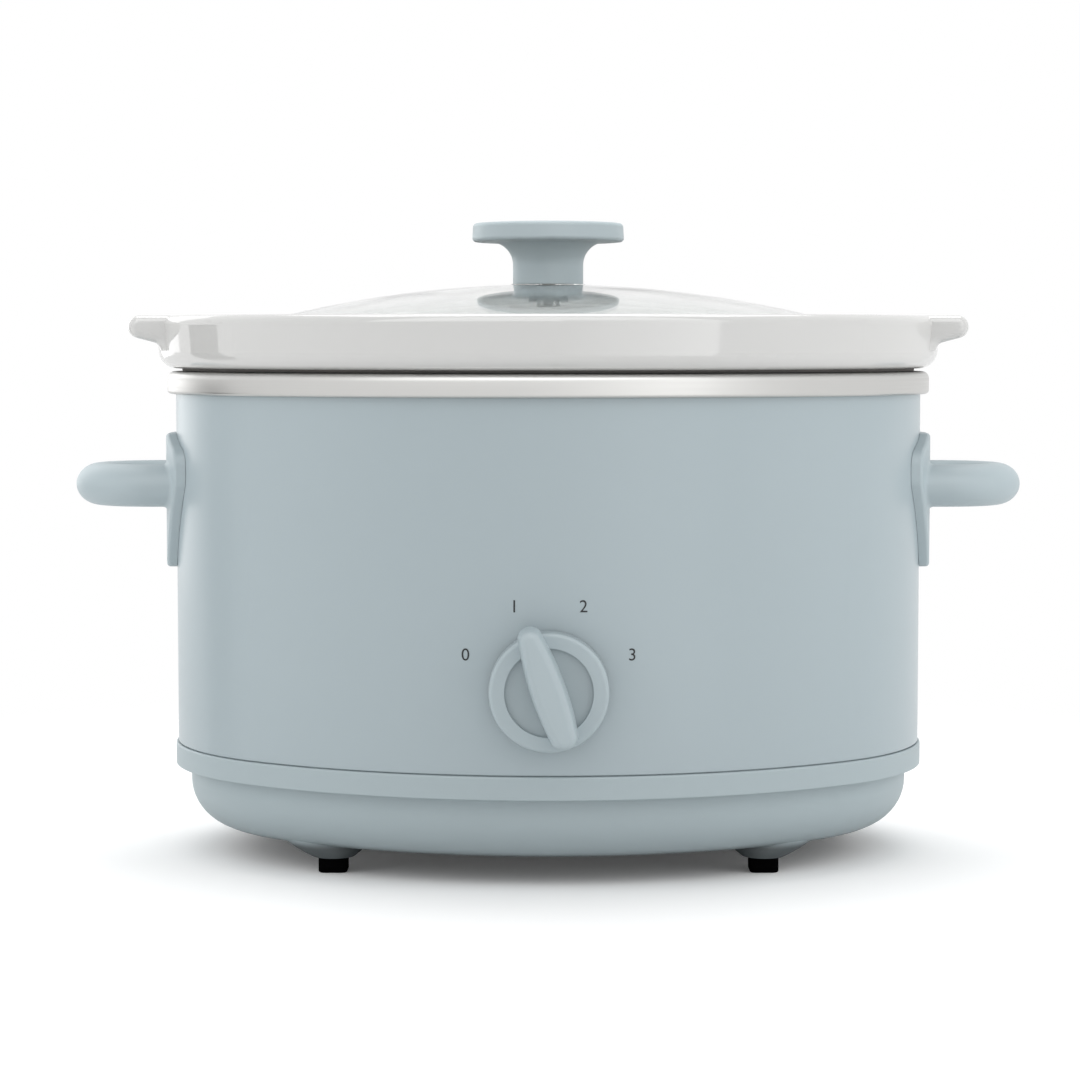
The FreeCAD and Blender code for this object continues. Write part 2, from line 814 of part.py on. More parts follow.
def make_handle_right():
    """Loop handle on a shield-shaped plate that follows the wall."""
    body = new_body("handle_right")
    reach = d.half_length + d.plate_proud + d.bar_width
    plate = new_sketch(body, "YZ_Plane", end_shift, (0, handle_z))
    corners = [
        (-d.plate_foot_half, -d.plate_down), (d.plate_foot_half, -d.plate_down),
        (d.plate_half_width, d.waist_up), (d.plate_half_width, d.shoulder_up),
        (d.plate_top_half, d.plate_up), (-d.plate_top_half, d.plate_up),
        (-d.plate_half_width, d.shoulder_up), (-d.plate_half_width, d.waist_up),
    ]
    outline(plate, corners)
    pad(body, plate, reach - end_shift)
    outside = new_sketch(body, "XY_Plane", handle_z + 2 * d.plate_up)
    rectangle(outside, 2 * d.half_length, 2 * d.half_width)
    oval(outside, d.plate_proud)
    pocket(body, outside, 2 * (d.plate_up + d.plate_down))
    fillet(body, d.plate_corner, lambda edge: is_along(edge, plate_corner_points(corners)))
    fillet(body, d.plate_edge, on_parallel(d.plate_proud))
    spine = new_sketch(body, "XY_Plane", handle_z)
    half = d.arm_spacing / 2
    tip = d.half_length + d.handle_reach - d.bar_width / 2
    bend = tip - half
    path = [(end_shift, -half), (bend, -half), (tip, 0), (bend, half), (end_shift, half)]
    outline(spine, path, {1: half, 2: half}, closed=False)
    section = new_sketch(body, "YZ_Plane", end_shift, (-half, handle_z))
    ellipse(section, d.bar_width / 2, d.bar_height / 2)
    sweep(body, section, spine)
    fillet(body, d.arm_root, is_arm_root)
    inside = oval_sketch(body, handle_z + 2 * d.plate_up, d.part_gap / 2)
    pocket(body, inside, 2 * (d.plate_up + d.plate_down))
    for side in (-1, 1):
        bore = new_sketch(body, "XY_Plane", handle_z, (end_shift, 0), side * screw_turn)
        drill(body, bore, d.screw_radius + d.shaft_gap, side_drop, d.end_radius + d.handle_screw_depth)
    return body


def make_handle_left(handle_right):
    """The other handle, a mirror image."""
    mirror = doc.addObject("Part::Mirroring", "handle_left")
    mirror.Label = "handle_left"
    mirror.Source = handle_right
    mirror.Normal = vector(1)
    return mirror


def make_handle_screws():
    """Two screws for each handle, from inside the wall into the arms of the loop."""
    body = new_body("handle_screws", many=True)
    seat = d.end_radius - d.wrap_wall - d.part_gap
    length = d.end_radius + d.handle_screw_depth - d.part_gap - seat
    for end in (-1, 1):
        for side in (-1, 1):
            turn = side * screw_turn if end > 0 else 180 - side * screw_turn
            place = (end * end_shift + seat * end * screw_cos, seat * side * screw_sin)
            sketch = new_sketch(body, "XY_Plane", handle_z, place, turn)
            screw(body, sketch, d.screw_head_radius, d.screw_head_height, d.screw_radius, length)
    return body


def on_parallel(offset, slack=0.02):
    """Test for edges that run along one parallel of the wall at any height."""
    offset = as_size(offset).number

    def test(edge):
        points = [edge.Vertexes[0].Point, middle_of(edge), edge.Vertexes[-1].Point]
        return all(abs(wall_offset(point) - offset) < slack for point in points)

    return test


def plate_corner_points(corners):
    return [(as_size(y).number, (handle_z + z).number) for y, z in corners]


def is_along(edge, places, slack=0.2):
    """True for an edge that runs outward through the wall at one of the plate's corners."""
    box = edge.BoundBox
    for y, z in places:
        near_y = abs(box.YMin - y) < slack and abs(box.YMax - y) < slack
        near_z = abs(box.ZMin - z) < slack and abs(box.ZMax - z) < slack
        if near_y and near_z:
            return True
    return False


def is_arm_root(edge):
    """True for an edge where an arm of the handle leaves its plate."""
    middle = middle_of(edge)
    reach = (d.arm_spacing + d.bar_width).number / 2 + d.arm_root.number / 2
    beside_arm = abs(middle.y) < reach and abs(middle.z - handle_z.number) < d.bar_height.number
    return beside_arm and on_parallel(d.plate_proud)(edge)


def ellipse(sketch, half_wide, half_tall):
    """Lying ellipse about the sketch's origin; half_wide is the larger half."""
    shape = Part.Ellipse(vector(half_wide.number), vector(y=half_tall.number), vector())
    geometry = sketch.addGeometry(shape, False)
    sketch.exposeInternalGeometry(geometry)
    sketch.addConstraint(Sketcher.Constraint("Coincident", geometry, 3, -1, 1))
    wide, tall = geometry + 1, geometry + 2
    sketch.addConstraint(Sketcher.Constraint("Horizontal", wide))
    dimension(sketch, "Distance", (wide,), 2 * half_wide)
    dimension(sketch, "Distance", (tall,), 2 * half_tall)
    return sketch


def make_switch_saddle():
    """Saddle that fits the flat switch to the curved wall."""
    body = new_body("switch_saddle")
    block = new_sketch(body, "XZ_Plane", saddle_back, (0, dial_z))
    rectangle(block, d.saddle_half_width, d.saddle_half_height)
    pad(body, block, d.saddle_depth + d.wrap_wall)
    outside = new_sketch(body, "XY_Plane", dial_z + 2 * d.saddle_half_height)
    rectangle(outside, 2 * d.half_length, 2 * d.half_width)
    oval(outside, -d.wrap_wall - d.part_gap / 2)
    pocket(body, outside, 4 * d.saddle_half_height)
    holes = new_sketch(body, "XZ_Plane", saddle_back, (0, dial_z))
    circle(holes, d.bush_radius + d.part_gap)
    for side in (-1, 1):
        circle(holes, d.switch_screw_radius + d.part_gap, (side * d.switch_screw_x, 0))
    pocket(body, holes, d.saddle_depth + d.wrap_wall, back=True)
    return body


def make_rotary_switch():
    """Switch block with a bush for its shaft and two terminal tabs below."""
    body = new_body("rotary_switch")
    block = new_sketch(body, "XZ_Plane", switch_back, (0, dial_z))
    rounded_rectangle(block, d.switch_half_width, d.switch_half_height, d.switch_corner)
    pad(body, block, d.switch_depth)
    bush = new_sketch(body, "XZ_Plane", saddle_back, (0, dial_z))
    circle(bush, d.bush_radius)
    bush_front = dial_back - d.seat_gap
    pad(body, bush, bush_front - saddle_back)
    bore = new_sketch(body, "XZ_Plane", bush_front, (0, dial_z))
    circle(bore, d.shaft_radius + d.shaft_gap)
    pocket(body, bore, bush_front - shaft_end)
    pilots = new_sketch(body, "XZ_Plane", saddle_back, (0, dial_z))
    for side in (-1, 1):
        circle(pilots, d.switch_screw_radius + d.shaft_gap, (side * d.switch_screw_x, 0))
    pocket(body, pilots, d.switch_pilot)
    tabs = new_sketch(body, "XY_Plane", dial_z - d.switch_half_height)
    for side in (-1, 1):
        rectangle(tabs, d.tab_width / 2, d.tab_thickness / 2, (side * d.tab_x, -tab_front))
    pad(body, tabs, d.tab_length, back=True)
    return body


def make_switch_screws():
    """Two screws through the wall and the saddle into the switch, hidden by the dial."""
    body = new_body("switch_screws", many=True)
    length = d.half_width - saddle_back + d.switch_screw_grip
    for side in (-1, 1):
        sketch = new_sketch(body, "XY_Plane", dial_z, (side * d.switch_screw_x, -d.half_width), as_size(90))
        screw(body, sketch, d.switch_screw_head, d.switch_screw_head_height, d.switch_screw_radius, length)
    return body


def flatted_circle(sketch, radius, flat):
    """Circle with its top cut flat."""
    half = root(radius * radius - flat * flat)
    return outline(sketch, [(half, flat), (-half, flat), (0, -radius)], {1: radius, 2: radius})


def make_switch_shaft():
    """Shaft of the switch, with a flat for the dial."""
    body = new_body("switch_shaft")
    front = dial_back + d.shaft_grip - d.seat_gap
    rod = new_sketch(body, "XZ_Plane", shaft_end + d.seat_gap, (0, dial_z))
    circle(rod, d.shaft_radius)
    pad(body, rod, front - shaft_end - d.seat_gap)
    flat = new_sketch(body, "XZ_Plane", front, (0, dial_z), d.pointer_angle)
    rectangle(flat, 2 * d.shaft_radius, d.shaft_radius, (0, d.shaft_flat + d.shaft_radius))
    pocket(body, flat, front - dial_back + d.seat_gap)
    return body


def make_dial_knob():
    """Dial with a dished face and a raised bar that tapers to both ends."""
    body = new_body("dial_knob")
    middle = (0, dial_z)
    disc = new_sketch(body, "XZ_Plane", dial_back, middle)
    circle(disc, d.dial_radius)
    pad(body, disc, d.dial_ring)
    fillet(body, d.dial_edge, at_level("Y", -dial_face))
    dish = new_sketch(body, "XZ_Plane", dial_face, middle)
    circle(dish, d.dish_radius)
    pocket(body, dish, d.dish_depth)
    tip = d.grip_tip_width / 2
    tail = d.grip_tail_width / 2
    tip_radius = d.grip_cap * tip
    tail_radius = d.grip_cap * tail
    high = d.grip_tip - tip_radius + root(tip_radius * tip_radius - tip * tip)
    low = tail_radius - root(tail_radius * tail_radius - tail * tail) - d.grip_tail
    chord = high - low
    bow = (d.grip_width - tip - tail) / 2
    bow_radius = (chord * chord / 4 + bow * bow) / (2 * bow)
    ridge = dial_face + d.grip_height
    foot = new_sketch(body, "XZ_Plane", dish_face, middle, d.pointer_angle)
    arcs = {0: bow_radius, 1: tip_radius, 2: bow_radius, 3: tail_radius}
    outline(foot, [(tail, low), (tip, high), (-tip, high), (-tail, low)], arcs)
    pad(body, foot, ridge - dish_face, -d.grip_draft)
    fillet(body, d.grip_round, at_level("Y", -ridge))
    hollow_ring = new_sketch(body, "XZ_Plane", dial_back, middle)
    circle(hollow_ring, d.dial_radius - d.dial_skirt)
    circle(hollow_ring, d.dial_hub)
    pocket(body, hollow_ring, d.dial_hollow, back=True)
    bore = new_sketch(body, "XZ_Plane", dial_back, middle, d.pointer_angle)
    flatted_circle(bore, d.shaft_radius + d.shaft_gap, d.shaft_flat + d.shaft_gap)
    pocket(body, bore, d.shaft_grip, back=True)
    return body


def is_lug_side(edge, slack=0.02):
    """True for an edge of a lug's upright side faces, but not where they sink into the collar."""
    points = [edge.Vertexes[0].Point, middle_of(edge), edge.Vertexes[-1].Point]
    turns = [math.degrees(math.atan2(abs(point.y), abs(point.x) - lug_shift.number)) for point in points]
    on_side = all(abs(turn - lug_angle.number / 2) < slack for turn in turns)
    above_foot = points[1].z > (collar_bottom + d.lug_foot).number + slack
    reach = math.hypot(abs(points[1].x) - lug_shift.number, points[1].y)
    return on_side and above_foot and reach > (d.lug_bend - d.lug_reach).number + slack


def make_lugs():
    """Rounded grips for both ends of the crock, webbed to its collar below."""
    body = new_body("crock_lugs", many=True)
    slope = tangent(d.lug_slope)
    slant = root(1 + slope * slope)
    inside = d.lug_bend - d.lug_reach
    tip = d.lug_bend
    wall = inside + d.collar_flare + d.lug_foot * tangent(d.collar_draft) - d.lug_sink
    foot = collar_bottom + d.lug_foot
    web = wall + d.lug_web * (1 - slope / slant)
    web_top = foot + d.lug_web / slant
    under = web_top + (tip - web) * slope
    turn_in = d.lug_nose * (slant - slope)
    half = [
        (inside, foot), (wall, foot), (web, web_top),
        (tip - turn_in / slant, under - turn_in * slope / slant), (tip, under + turn_in),
        (tip, crock_top - d.lug_nose), (tip - d.lug_nose, crock_top), (inside, crock_top),
    ]
    right = new_sketch(body, "XZ_Plane", 0, (lug_shift, 0))
    outline(right, half, {1: d.lug_web, 3: d.lug_nose, 5: d.lug_nose}, inward=(1,))
    revolve(body, right, "V_Axis", lug_angle)
    left = new_sketch(body, "XZ_Plane", 0, (-lug_shift, 0))
    mirrored = [(-x, z) for x, z in reversed(half)]
    outline(left, mirrored, {1: d.lug_nose, 3: d.lug_nose, 5: d.lug_web}, inward=(5,))
    revolve(body, left, "V_Axis", lug_angle)
    fillet(body, d.lug_fillet, is_lug_side)
    return body


def make_crock():
    """Stoneware crock that hangs in the pan by its collar, with a lug at each end."""
    body = new_body("crock")
    outside = -d.pan_inset - d.pan_wall - d.crock_gap + (crock_seat - rim_bottom) * pan_slope
    cavity = outside - d.crock_wall + (ledge - crock_seat) * pan_slope
    brim = d.collar_flare + d.collar_height * tangent(d.collar_draft)
    oval_block(body, crock_seat, outside, crock_seat - crock_bottom, d.pan_draft, d.crock_round)
    pad(body, oval_sketch(body, crock_seat, -d.crock_step_inset), d.crock_step)
    pad(body, oval_sketch(body, collar_bottom, d.collar_flare), d.collar_height, d.collar_draft)
    fillet(body, d.collar_round, on_oval(collar_bottom, d.collar_flare))
    fillet(body, d.brim_round, on_oval(crock_top, brim))
    combine(body, make_lugs(), "Fuse")
    pocket(body, oval_sketch(body, crock_top, -d.recess_inset), d.ledge_depth)
    hollow(body, ledge, cavity, ledge - crock_floor, d.pan_draft, d.crock_round - d.crock_wall)
    fillet(body, d.brim_round, on_oval(crock_top, -d.recess_inset))
    fillet(body, d.ledge_round, on_oval(ledge, cavity))
    return body


def make_lid_glass():
    """Domed glass lid with a flat edge, a ground seat for the knob and a hole for its screw."""
    body = new_body("lid_glass")
    edge_offset = -d.recess_inset - d.lid_gap
    flange_inside = edge_offset - d.lid_flange
    rise = d.lid_height - d.lid_glass
    dome_edge = flange_inside + d.lid_flange / 4
    reach = d.half_length + dome_edge
    breadth = d.half_width + dome_edge
    long_radius = (reach * reach + rise * rise) / (2 * rise)
    cross_radius = (breadth * breadth + rise * rise) / (2 * rise)
    under_radius = long_radius - d.lid_glass
    end = reach + d.lid_flange / 2
    centre = cross_radius - long_radius
    over_end = centre + root(long_radius * long_radius - end * end)
    under_end = centre + root(under_radius * under_radius - end * end)
    arch = new_sketch(body, "XZ_Plane", 0, (0, lid_top - cross_radius))
    corners = [(-end, under_end), (end, under_end), (end, over_end), (-end, over_end)]
    outline(arch, corners, {0: under_radius, 2: long_radius}, inward=(0,))
    revolve(body, arch, "H_Axis", 120.0)
    outside = new_sketch(body, "XY_Plane", lid_top + d.lid_glass)
    rectangle(outside, 2 * d.half_length, 3 * d.half_width)
    oval(outside, flange_inside + d.lid_flange / 2)
    pocket(body, outside, 2 * cross_radius)
    below = new_sketch(body, "XY_Plane", lid_seat)
    rectangle(below, 2 * d.half_length, 2 * d.half_width)
    pocket(body, below, d.lid_height)
    pad(body, oval_sketch(body, lid_seat, edge_offset, flange_inside), d.lid_glass)
    seat = new_sketch(body, "XY_Plane", lid_top - d.lid_glass / 2)
    circle(seat, d.lid_seat_radius)
    pad(body, seat, d.lid_glass / 2)
    hole = new_sketch(body, "XY_Plane", lid_top)
    circle(hole, d.lid_hole_radius)
    pocket(body, hole, 2 * d.lid_glass)
    fillet(body, d.lid_edge, on_oval(lid_seat + d.lid_glass, edge_offset))
    fillet(body, d.lid_edge, on_oval(lid_seat, edge_offset))
    return body


def make_lid_knob():
    """Round knob on a waisted stem."""
    body = new_body("lid_knob")
    top = knob_disc_bottom + d.knob_disc
    rim = d.knob_radius - d.knob_crown / 2
    crown_radius = (rim * rim + d.knob_crown * d.knob_crown) / (2 * d.knob_crown)
    profile = new_sketch(body, "XZ_Plane")
    corners = [
        (0, lid_top), (d.stem_radius, lid_top), (d.stem_radius, knob_disc_bottom - d.stem_fillet),
        (d.stem_radius + d.stem_fillet, knob_disc_bottom), (d.knob_radius, knob_disc_bottom),
        (rim, top), (0, top + d.knob_crown),
    ]
    outline(profile, corners, {2: d.stem_fillet, 5: crown_radius}, inward=(2,))
    revolve(body, profile, "V_Axis")
    rings = ((rim, top), (d.knob_radius, knob_disc_bottom))
    fillet(body, d.knob_edge, lambda edge: any(is_ring(edge, *ring) for ring in rings))
    bore = new_sketch(body, "XY_Plane", lid_top)
    circle(bore, d.lid_screw_radius + d.shaft_gap)
    pocket(body, bore, d.lid_screw_grip, back=True)
    return body


def is_ring(edge, radius, height):
    """True for a full circle about the Z axis with the radius at the height."""
    box = edge.BoundBox
    level = abs(box.ZMin - height.number) < 0.01 and abs(box.ZMax - height.number) < 0.01
    return level and abs(box.XMax - radius.number) < 0.05


def make_lid_screw():
    """Screw up through the washer and the glass into the knob."""
    body = new_body("lid_screw")
    seat = lid_top - d.lid_glass - d.washer_thickness - d.part_gap
    sketch = new_sketch(body, "XZ_Plane", 0, (0, seat), as_size(90))
    length = lid_top + d.lid_screw_grip - d.part_gap - seat
    screw(body, sketch, d.lid_screw_head, d.lid_screw_head_height, d.lid_screw_radius, length)
    return body


def make_lid_washer():
    """Soft washer between the glass and the screw's head."""
    body = new_body("lid_washer")
    ring = new_sketch(body, "XY_Plane", lid_top - d.lid_glass - d.part_gap)
    circle(ring, d.washer_radius)
    circle(ring, d.lid_screw_radius + d.shaft_gap)
    pad(body, ring, d.washer_thickness, back=True)
    return body


def make_cord_gland():
    """Flanged bush at the rear of the wall, where the supply cord goes in."""
    body = new_body("cord_gland")
    inner = d.half_width - d.gland_length - d.wrap_wall
    profile = new_sketch(body, "YZ_Plane", 0, (0, gland_z))
    wall_inside = d.half_width - d.wrap_wall - d.part_gap
    wall_outside = d.half_width + d.part_gap
    flange = wall_outside + d.gland_flange_depth
    corners = [
        (inner, d.gland_bore), (flange, d.gland_bore), (flange, d.gland_flange),
        (wall_outside, d.gland_flange), (wall_outside, d.gland_radius), (wall_inside, d.gland_radius),
        (wall_inside, d.gland_collar), (inner, d.gland_collar),
    ]
    outline(profile, corners)
    revolve(body, profile, "H_Axis")
    return body


def make_terminal_block():
    """Terminal block on the tub's floor, with a wire hole for each lead."""
    body = new_body("terminal_block")
    base = new_sketch(body, "XY_Plane", tub_floor)
    rectangle(base, d.block_half_width, d.block_depth / 2, (0, d.block_y))
    pad(body, base, d.block_height)
    for x in (d.lead_spacing / 2, d.tab_x):
        wires = new_sketch(body, "XZ_Plane", -d.block_y, (0, lead_z))
        for side in (-1, 1):
            circle(wires, d.lead_radius + d.shaft_gap, (side * x, 0))
        pocket(body, wires, d.block_depth, back=x is d.tab_x)
    return body


def make_supply_leads():
    """Two leads from the gland down behind the pan to the terminal block."""
    body = new_body("supply_leads", many=True)
    start = d.half_width - d.gland_length
    drop = d.half_width - d.lead_drop
    near = drop + d.lead_short_bend
    end = d.block_y + d.part_gap
    for side in (-1, 1):
        spine = new_sketch(body, "YZ_Plane", side * d.lead_spacing / 2)
        path = [
            (start, gland_z), (near, gland_z), (drop, gland_z - d.lead_short_bend),
            (drop, lead_z + d.lead_bend), (drop - d.lead_bend, lead_z), (end, lead_z),
        ]
        outline(spine, path, {1: d.lead_short_bend, 3: d.lead_bend}, inward=(3,), closed=False)
        section = new_sketch(body, "XZ_Plane", -start, (side * d.lead_spacing / 2, gland_z))
        circle(section, d.lead_radius)
        sweep(body, section, spine)
    return body


def make_switch_leads():
    """Two leads from the terminal block along the floor and up to the switch."""
    body = new_body("switch_leads", many=True)
    start = d.block_y - d.part_gap
    for side in (-1, 1):
        spine = new_sketch(body, "YZ_Plane", side * d.tab_x)
        top = dial_z - d.switch_half_height - d.tab_length
        near = d.lead_bend - tab_front
        path = [(start, lead_z), (near, lead_z), (-tab_front, lead_z + d.lead_bend), (-tab_front, top)]
        outline(spine, path, {1: d.lead_bend}, inward=(1,), closed=False)
        section = new_sketch(body, "XZ_Plane", -start, (side * d.tab_x, lead_z))
        circle(section, d.lead_radius)
        sweep(body, section, spine)
    return body


def make_thermal_fuse():
    """Thermal fuse under the floor of the pan."""
    body = new_body("thermal_fuse")
    section = new_sketch(body, "YZ_Plane", d.fuse_x - d.fuse_length / 2, (0, pan_bottom))
    circle(section, d.fuse_radius, (0, -d.fuse_radius - d.part_gap))
    pad(body, section, d.fuse_length)
    return body


def make_fuse_clip():
    """Bent strip that holds the fuse against the pan."""
    body = new_body("fuse_clip")
    inner = d.fuse_radius + d.part_gap
    outer = inner + d.clip_thickness
    foot = outer + d.clip_foot
    strip = new_sketch(body, "YZ_Plane", d.fuse_x - d.clip_width / 2, (0, pan_bottom))
    corners = [
        (-foot, 0), (-foot, -d.clip_thickness), (-outer, -d.clip_thickness), (-outer, -inner),
        (0, -inner - outer), (outer, -inner), (outer, -d.clip_thickness), (foot, -d.clip_thickness),
        (foot, 0), (inner, 0), (inner, -inner), (0, -2 * inner), (-inner, -inner), (-inner, 0),
    ]
    outline(strip, corners, {3: outer, 4: outer, 10: inner, 11: inner}, inward=(10, 11))
    pad(body, strip, d.clip_width)
    return body


parts = [make_outer_wrap(), make_rim_ring(), make_base_tub(), make_heating_pan(), make_heater_band()]
parts += [make_heat_shield()] + make_base_fasteners()
for side_x, side_y in CORNERS:
    row_word = "front" if side_y < 0 else "rear"
    side_word = "left" if side_x < 0 else "right"
    parts.append(make_foot(f"foot_{row_word}_{side_word}", side_x, side_y))
handle_right = make_handle_right()
parts += [handle_right, make_handle_left(handle_right), make_handle_screws()]
parts += [make_switch_saddle(), make_rotary_switch(), make_switch_screws()]
parts += [make_switch_shaft(), make_dial_knob()]
parts += [make_crock(), make_lid_glass(), make_lid_knob(), make_lid_screw(), make_lid_washer()]
parts += [make_cord_gland(), make_terminal_block(), make_supply_leads(), make_switch_leads()]
parts += [make_thermal_fuse(), make_fuse_clip()]
doc.recompute()

failed = [item.Label for item in doc.Objects if {"Invalid", "Error"} & set(item.State)]
for part in parts:
    if part.Shape.isNull() or not part.Shape.isValid():
        failed.append(part.Label)
if failed:
    raise RuntimeError(f"failed: {failed}")
os.makedirs("parts", exist_ok=True)
for part in parts:
    part.Shape.exportStep(f"parts/{part.Label}.step")
    print(part.Label, len(part.Shape.Solids), round(part.Shape.Volume), part.Shape.BoundBox)
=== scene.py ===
"""Finishes of an oval slow cooker, the numerals round its dial, and a white studio to see it in."""

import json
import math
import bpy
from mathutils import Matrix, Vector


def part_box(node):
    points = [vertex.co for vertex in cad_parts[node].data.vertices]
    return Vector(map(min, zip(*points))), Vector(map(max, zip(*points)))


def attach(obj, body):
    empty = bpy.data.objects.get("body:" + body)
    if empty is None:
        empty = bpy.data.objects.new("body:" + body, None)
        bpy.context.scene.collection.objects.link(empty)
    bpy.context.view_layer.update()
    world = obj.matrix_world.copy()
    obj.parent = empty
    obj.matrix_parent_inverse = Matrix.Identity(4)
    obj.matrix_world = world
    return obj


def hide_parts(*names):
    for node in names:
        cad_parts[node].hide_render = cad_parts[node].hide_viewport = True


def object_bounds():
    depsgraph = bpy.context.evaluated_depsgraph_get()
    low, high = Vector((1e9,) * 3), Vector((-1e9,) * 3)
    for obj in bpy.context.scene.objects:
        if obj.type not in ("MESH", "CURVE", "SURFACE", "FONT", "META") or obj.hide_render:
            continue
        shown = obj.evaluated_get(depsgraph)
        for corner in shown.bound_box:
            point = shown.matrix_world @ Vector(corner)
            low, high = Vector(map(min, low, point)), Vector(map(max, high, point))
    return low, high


bl_info = {
    "name": "Slow Cooker Finishes",
    "version": (1, 0, 0),
    "blender": (4, 5, 0),
    "location": "View3D > Sidebar > Slow Cooker",
    "description": "Gives a packed slow cooker its finishes and sets it in a white studio",
    "category": "Object",
}

import bpy
from bpy.props import FloatProperty, FloatVectorProperty, PointerProperty
from bpy.types import Operator, Panel, PropertyGroup
from mathutils import Euler, Matrix, Vector

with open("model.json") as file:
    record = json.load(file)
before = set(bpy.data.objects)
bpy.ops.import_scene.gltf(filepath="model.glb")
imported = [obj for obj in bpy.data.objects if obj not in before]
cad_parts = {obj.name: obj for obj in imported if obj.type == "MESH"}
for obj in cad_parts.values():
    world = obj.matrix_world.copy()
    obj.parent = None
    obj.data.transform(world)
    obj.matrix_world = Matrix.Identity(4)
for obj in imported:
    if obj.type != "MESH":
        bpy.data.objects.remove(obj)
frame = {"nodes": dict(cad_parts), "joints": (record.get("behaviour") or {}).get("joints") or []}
cad_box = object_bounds()

MILLIMETRE = 0.001
SETTINGS = 4
RIM_TURNS = 360
ROUND_STEPS = 8
SHARP_EDGE = math.radians(40)


def colour_property(name, description, default):
    return FloatVectorProperty(
        name=name, description=description, default=default, subtype="COLOR", size=3, min=0.0, max=1.0)


def length_property(name, description, default):
    return FloatProperty(name=name, description=description, default=default, unit="LENGTH", precision=4)


def angle_property(name, description, degrees):
    return FloatProperty(name=name, description=description, default=math.radians(degrees), subtype="ANGLE")


def share_property(name, description, default):
    return FloatProperty(
        name=name, description=description, default=default, subtype="FACTOR", min=0.0, max=1.0)


class CookerFinish(PropertyGroup):
    """Colours and gloss of the cooker's pieces."""

    wall_colour: colour_property("Wall", "Paint of the wall", (0.388, 0.456, 0.484))
    base_colour: colour_property("Base", "Moulded base", (0.384, 0.454, 0.478))
    # Painted shade: below these heights the base's colour darkens, towards the table and under its bosses.
    boss_dark_height: length_property("Boss dark height", "Below this the base is darkest", 9.0 * MILLIMETRE)
    boss_clear_height: length_property(
        "Boss clear height", "Above this the base has its own colour", 13.0 * MILLIMETRE)
    boss_shade: share_property("Boss shade", "Share of its colour that the base keeps under its bosses", 0.20)
    trim_colour: colour_property("Trim", "Handles, dial and lid knob", (0.405, 0.477, 0.505))
    # Painted light: the knob is the trim's plastic painted lighter.
    knob_colour: colour_property("Knob", "Knob of the lid", (0.450, 0.528, 0.556))
    # Painted shade: the dial's colour darkens in its dish, behind this depth.
    dish_start: length_property(
        "Dish start", "Depth of the dial's dish behind the crest of its bar", 10.7 * MILLIMETRE)
    dish_shade: share_property("Dish shade", "Share of its colour that the dial keeps in its dish", 0.84)
    glaze_colour: colour_property("Glaze", "Glaze of the crock", (0.610, 0.610, 0.600))
    # The seat is bare stoneware, darkened further as painted shade for the shadow in the gap under the
    # collar.
    seat_colour: colour_property("Seat", "Bare stoneware where the crock rests", (0.190, 0.180, 0.170))
    seat_height: length_property("Seat height", "Top of the bare stoneware, above the rim", 1.25 * MILLIMETRE)
    seat_roughness: share_property("Seat roughness", "Roughness of the bare stoneware", 0.95)
    steel_colour: colour_property("Rim", "Brushed rim", (0.600, 0.597, 0.584))
    glass_colour: colour_property("Glass", "Body colour of the lid", (0.960, 0.975, 0.968))
    rubber_colour: colour_property("Rubber", "Feet and gland", (0.002, 0.002, 0.0022))
    numeral_colour: colour_property("Numerals", "Printed numerals", (0.012, 0.014, 0.016))
    washer_colour: colour_property("Washer", "Silicone washer of the lid's knob", (0.740, 0.750, 0.750))
    sheet_colour: colour_property("Sheet", "Drawn aluminium of the pan and its shield", (0.620, 0.620, 0.610))
    zinc_colour: colour_property("Fasteners", "Zinc plated fasteners", (0.550, 0.550, 0.540))
    weave_colour: colour_property("Weave", "Woven wrap of the heating band", (0.500, 0.470, 0.400))
    moulding_colour: colour_property("Moulding", "Switch, saddle and terminal block", (0.030, 0.030, 0.032))
    lead_colour: colour_property("Leads", "Sleeves of the leads", (0.360, 0.340, 0.300))
    paint_roughness: share_property("Paint roughness", "Roughness of the satin paint", 0.30)
    trim_roughness: share_property("Trim roughness", "Roughness of the moulded trim", 0.46)
    glaze_roughness: share_property("Glaze roughness", "Roughness of the glaze", 0.07)
    glaze_index: FloatProperty(
        name="Glaze index", description="Refractive index of the glaze", default=2.0, min=1.0)
    steel_roughness: share_property("Rim roughness", "Roughness of the brushed rim", 0.35)


class CookerRim(PropertyGroup):
    """Section of the rim, which runs round the four-arc oval of the wall."""

    end_radius: length_property("End radius", "Arc of the wall at either end", 92.0 * MILLIMETRE)
    proud: length_property("Proud", "How far the rim stands out from the wall", 3.3 * MILLIMETRE)
    width: length_property("Width", "From the outside of the rim to its inside", 8.3 * MILLIMETRE)
    outer_round: length_property("Outer round", "Round of its outer top edge", 2.8 * MILLIMETRE)
    edge_round: length_property("Edge round", "Round of its other edges", 1.4 * MILLIMETRE)
    groove_width: length_property("Groove width", "Groove that the wall stands in", 1.2 * MILLIMETRE)
    groove_depth: length_property("Groove depth", "How far the wall goes up into the rim", 4.2 * MILLIMETRE)
    groove_gap: length_property("Groove gap", "Clear space outside the wall", 0.2 * MILLIMETRE)


class CookerNumerals(PropertyGroup):
    """Numerals round the dial."""

    digit_height: length_property("Digit height", "Height of a numeral", 4.4 * MILLIMETRE)
    ring_radius: length_property(
        "Ring radius", "Distance of the numerals from the dial's axis", 32.5 * MILLIMETRE)
    ink_depth: length_property("Ink depth", "How far the ink stands off the paint", 0.06 * MILLIMETRE)
    step_angle: angle_property("Step", "Turn from one setting to the next", 45.0)


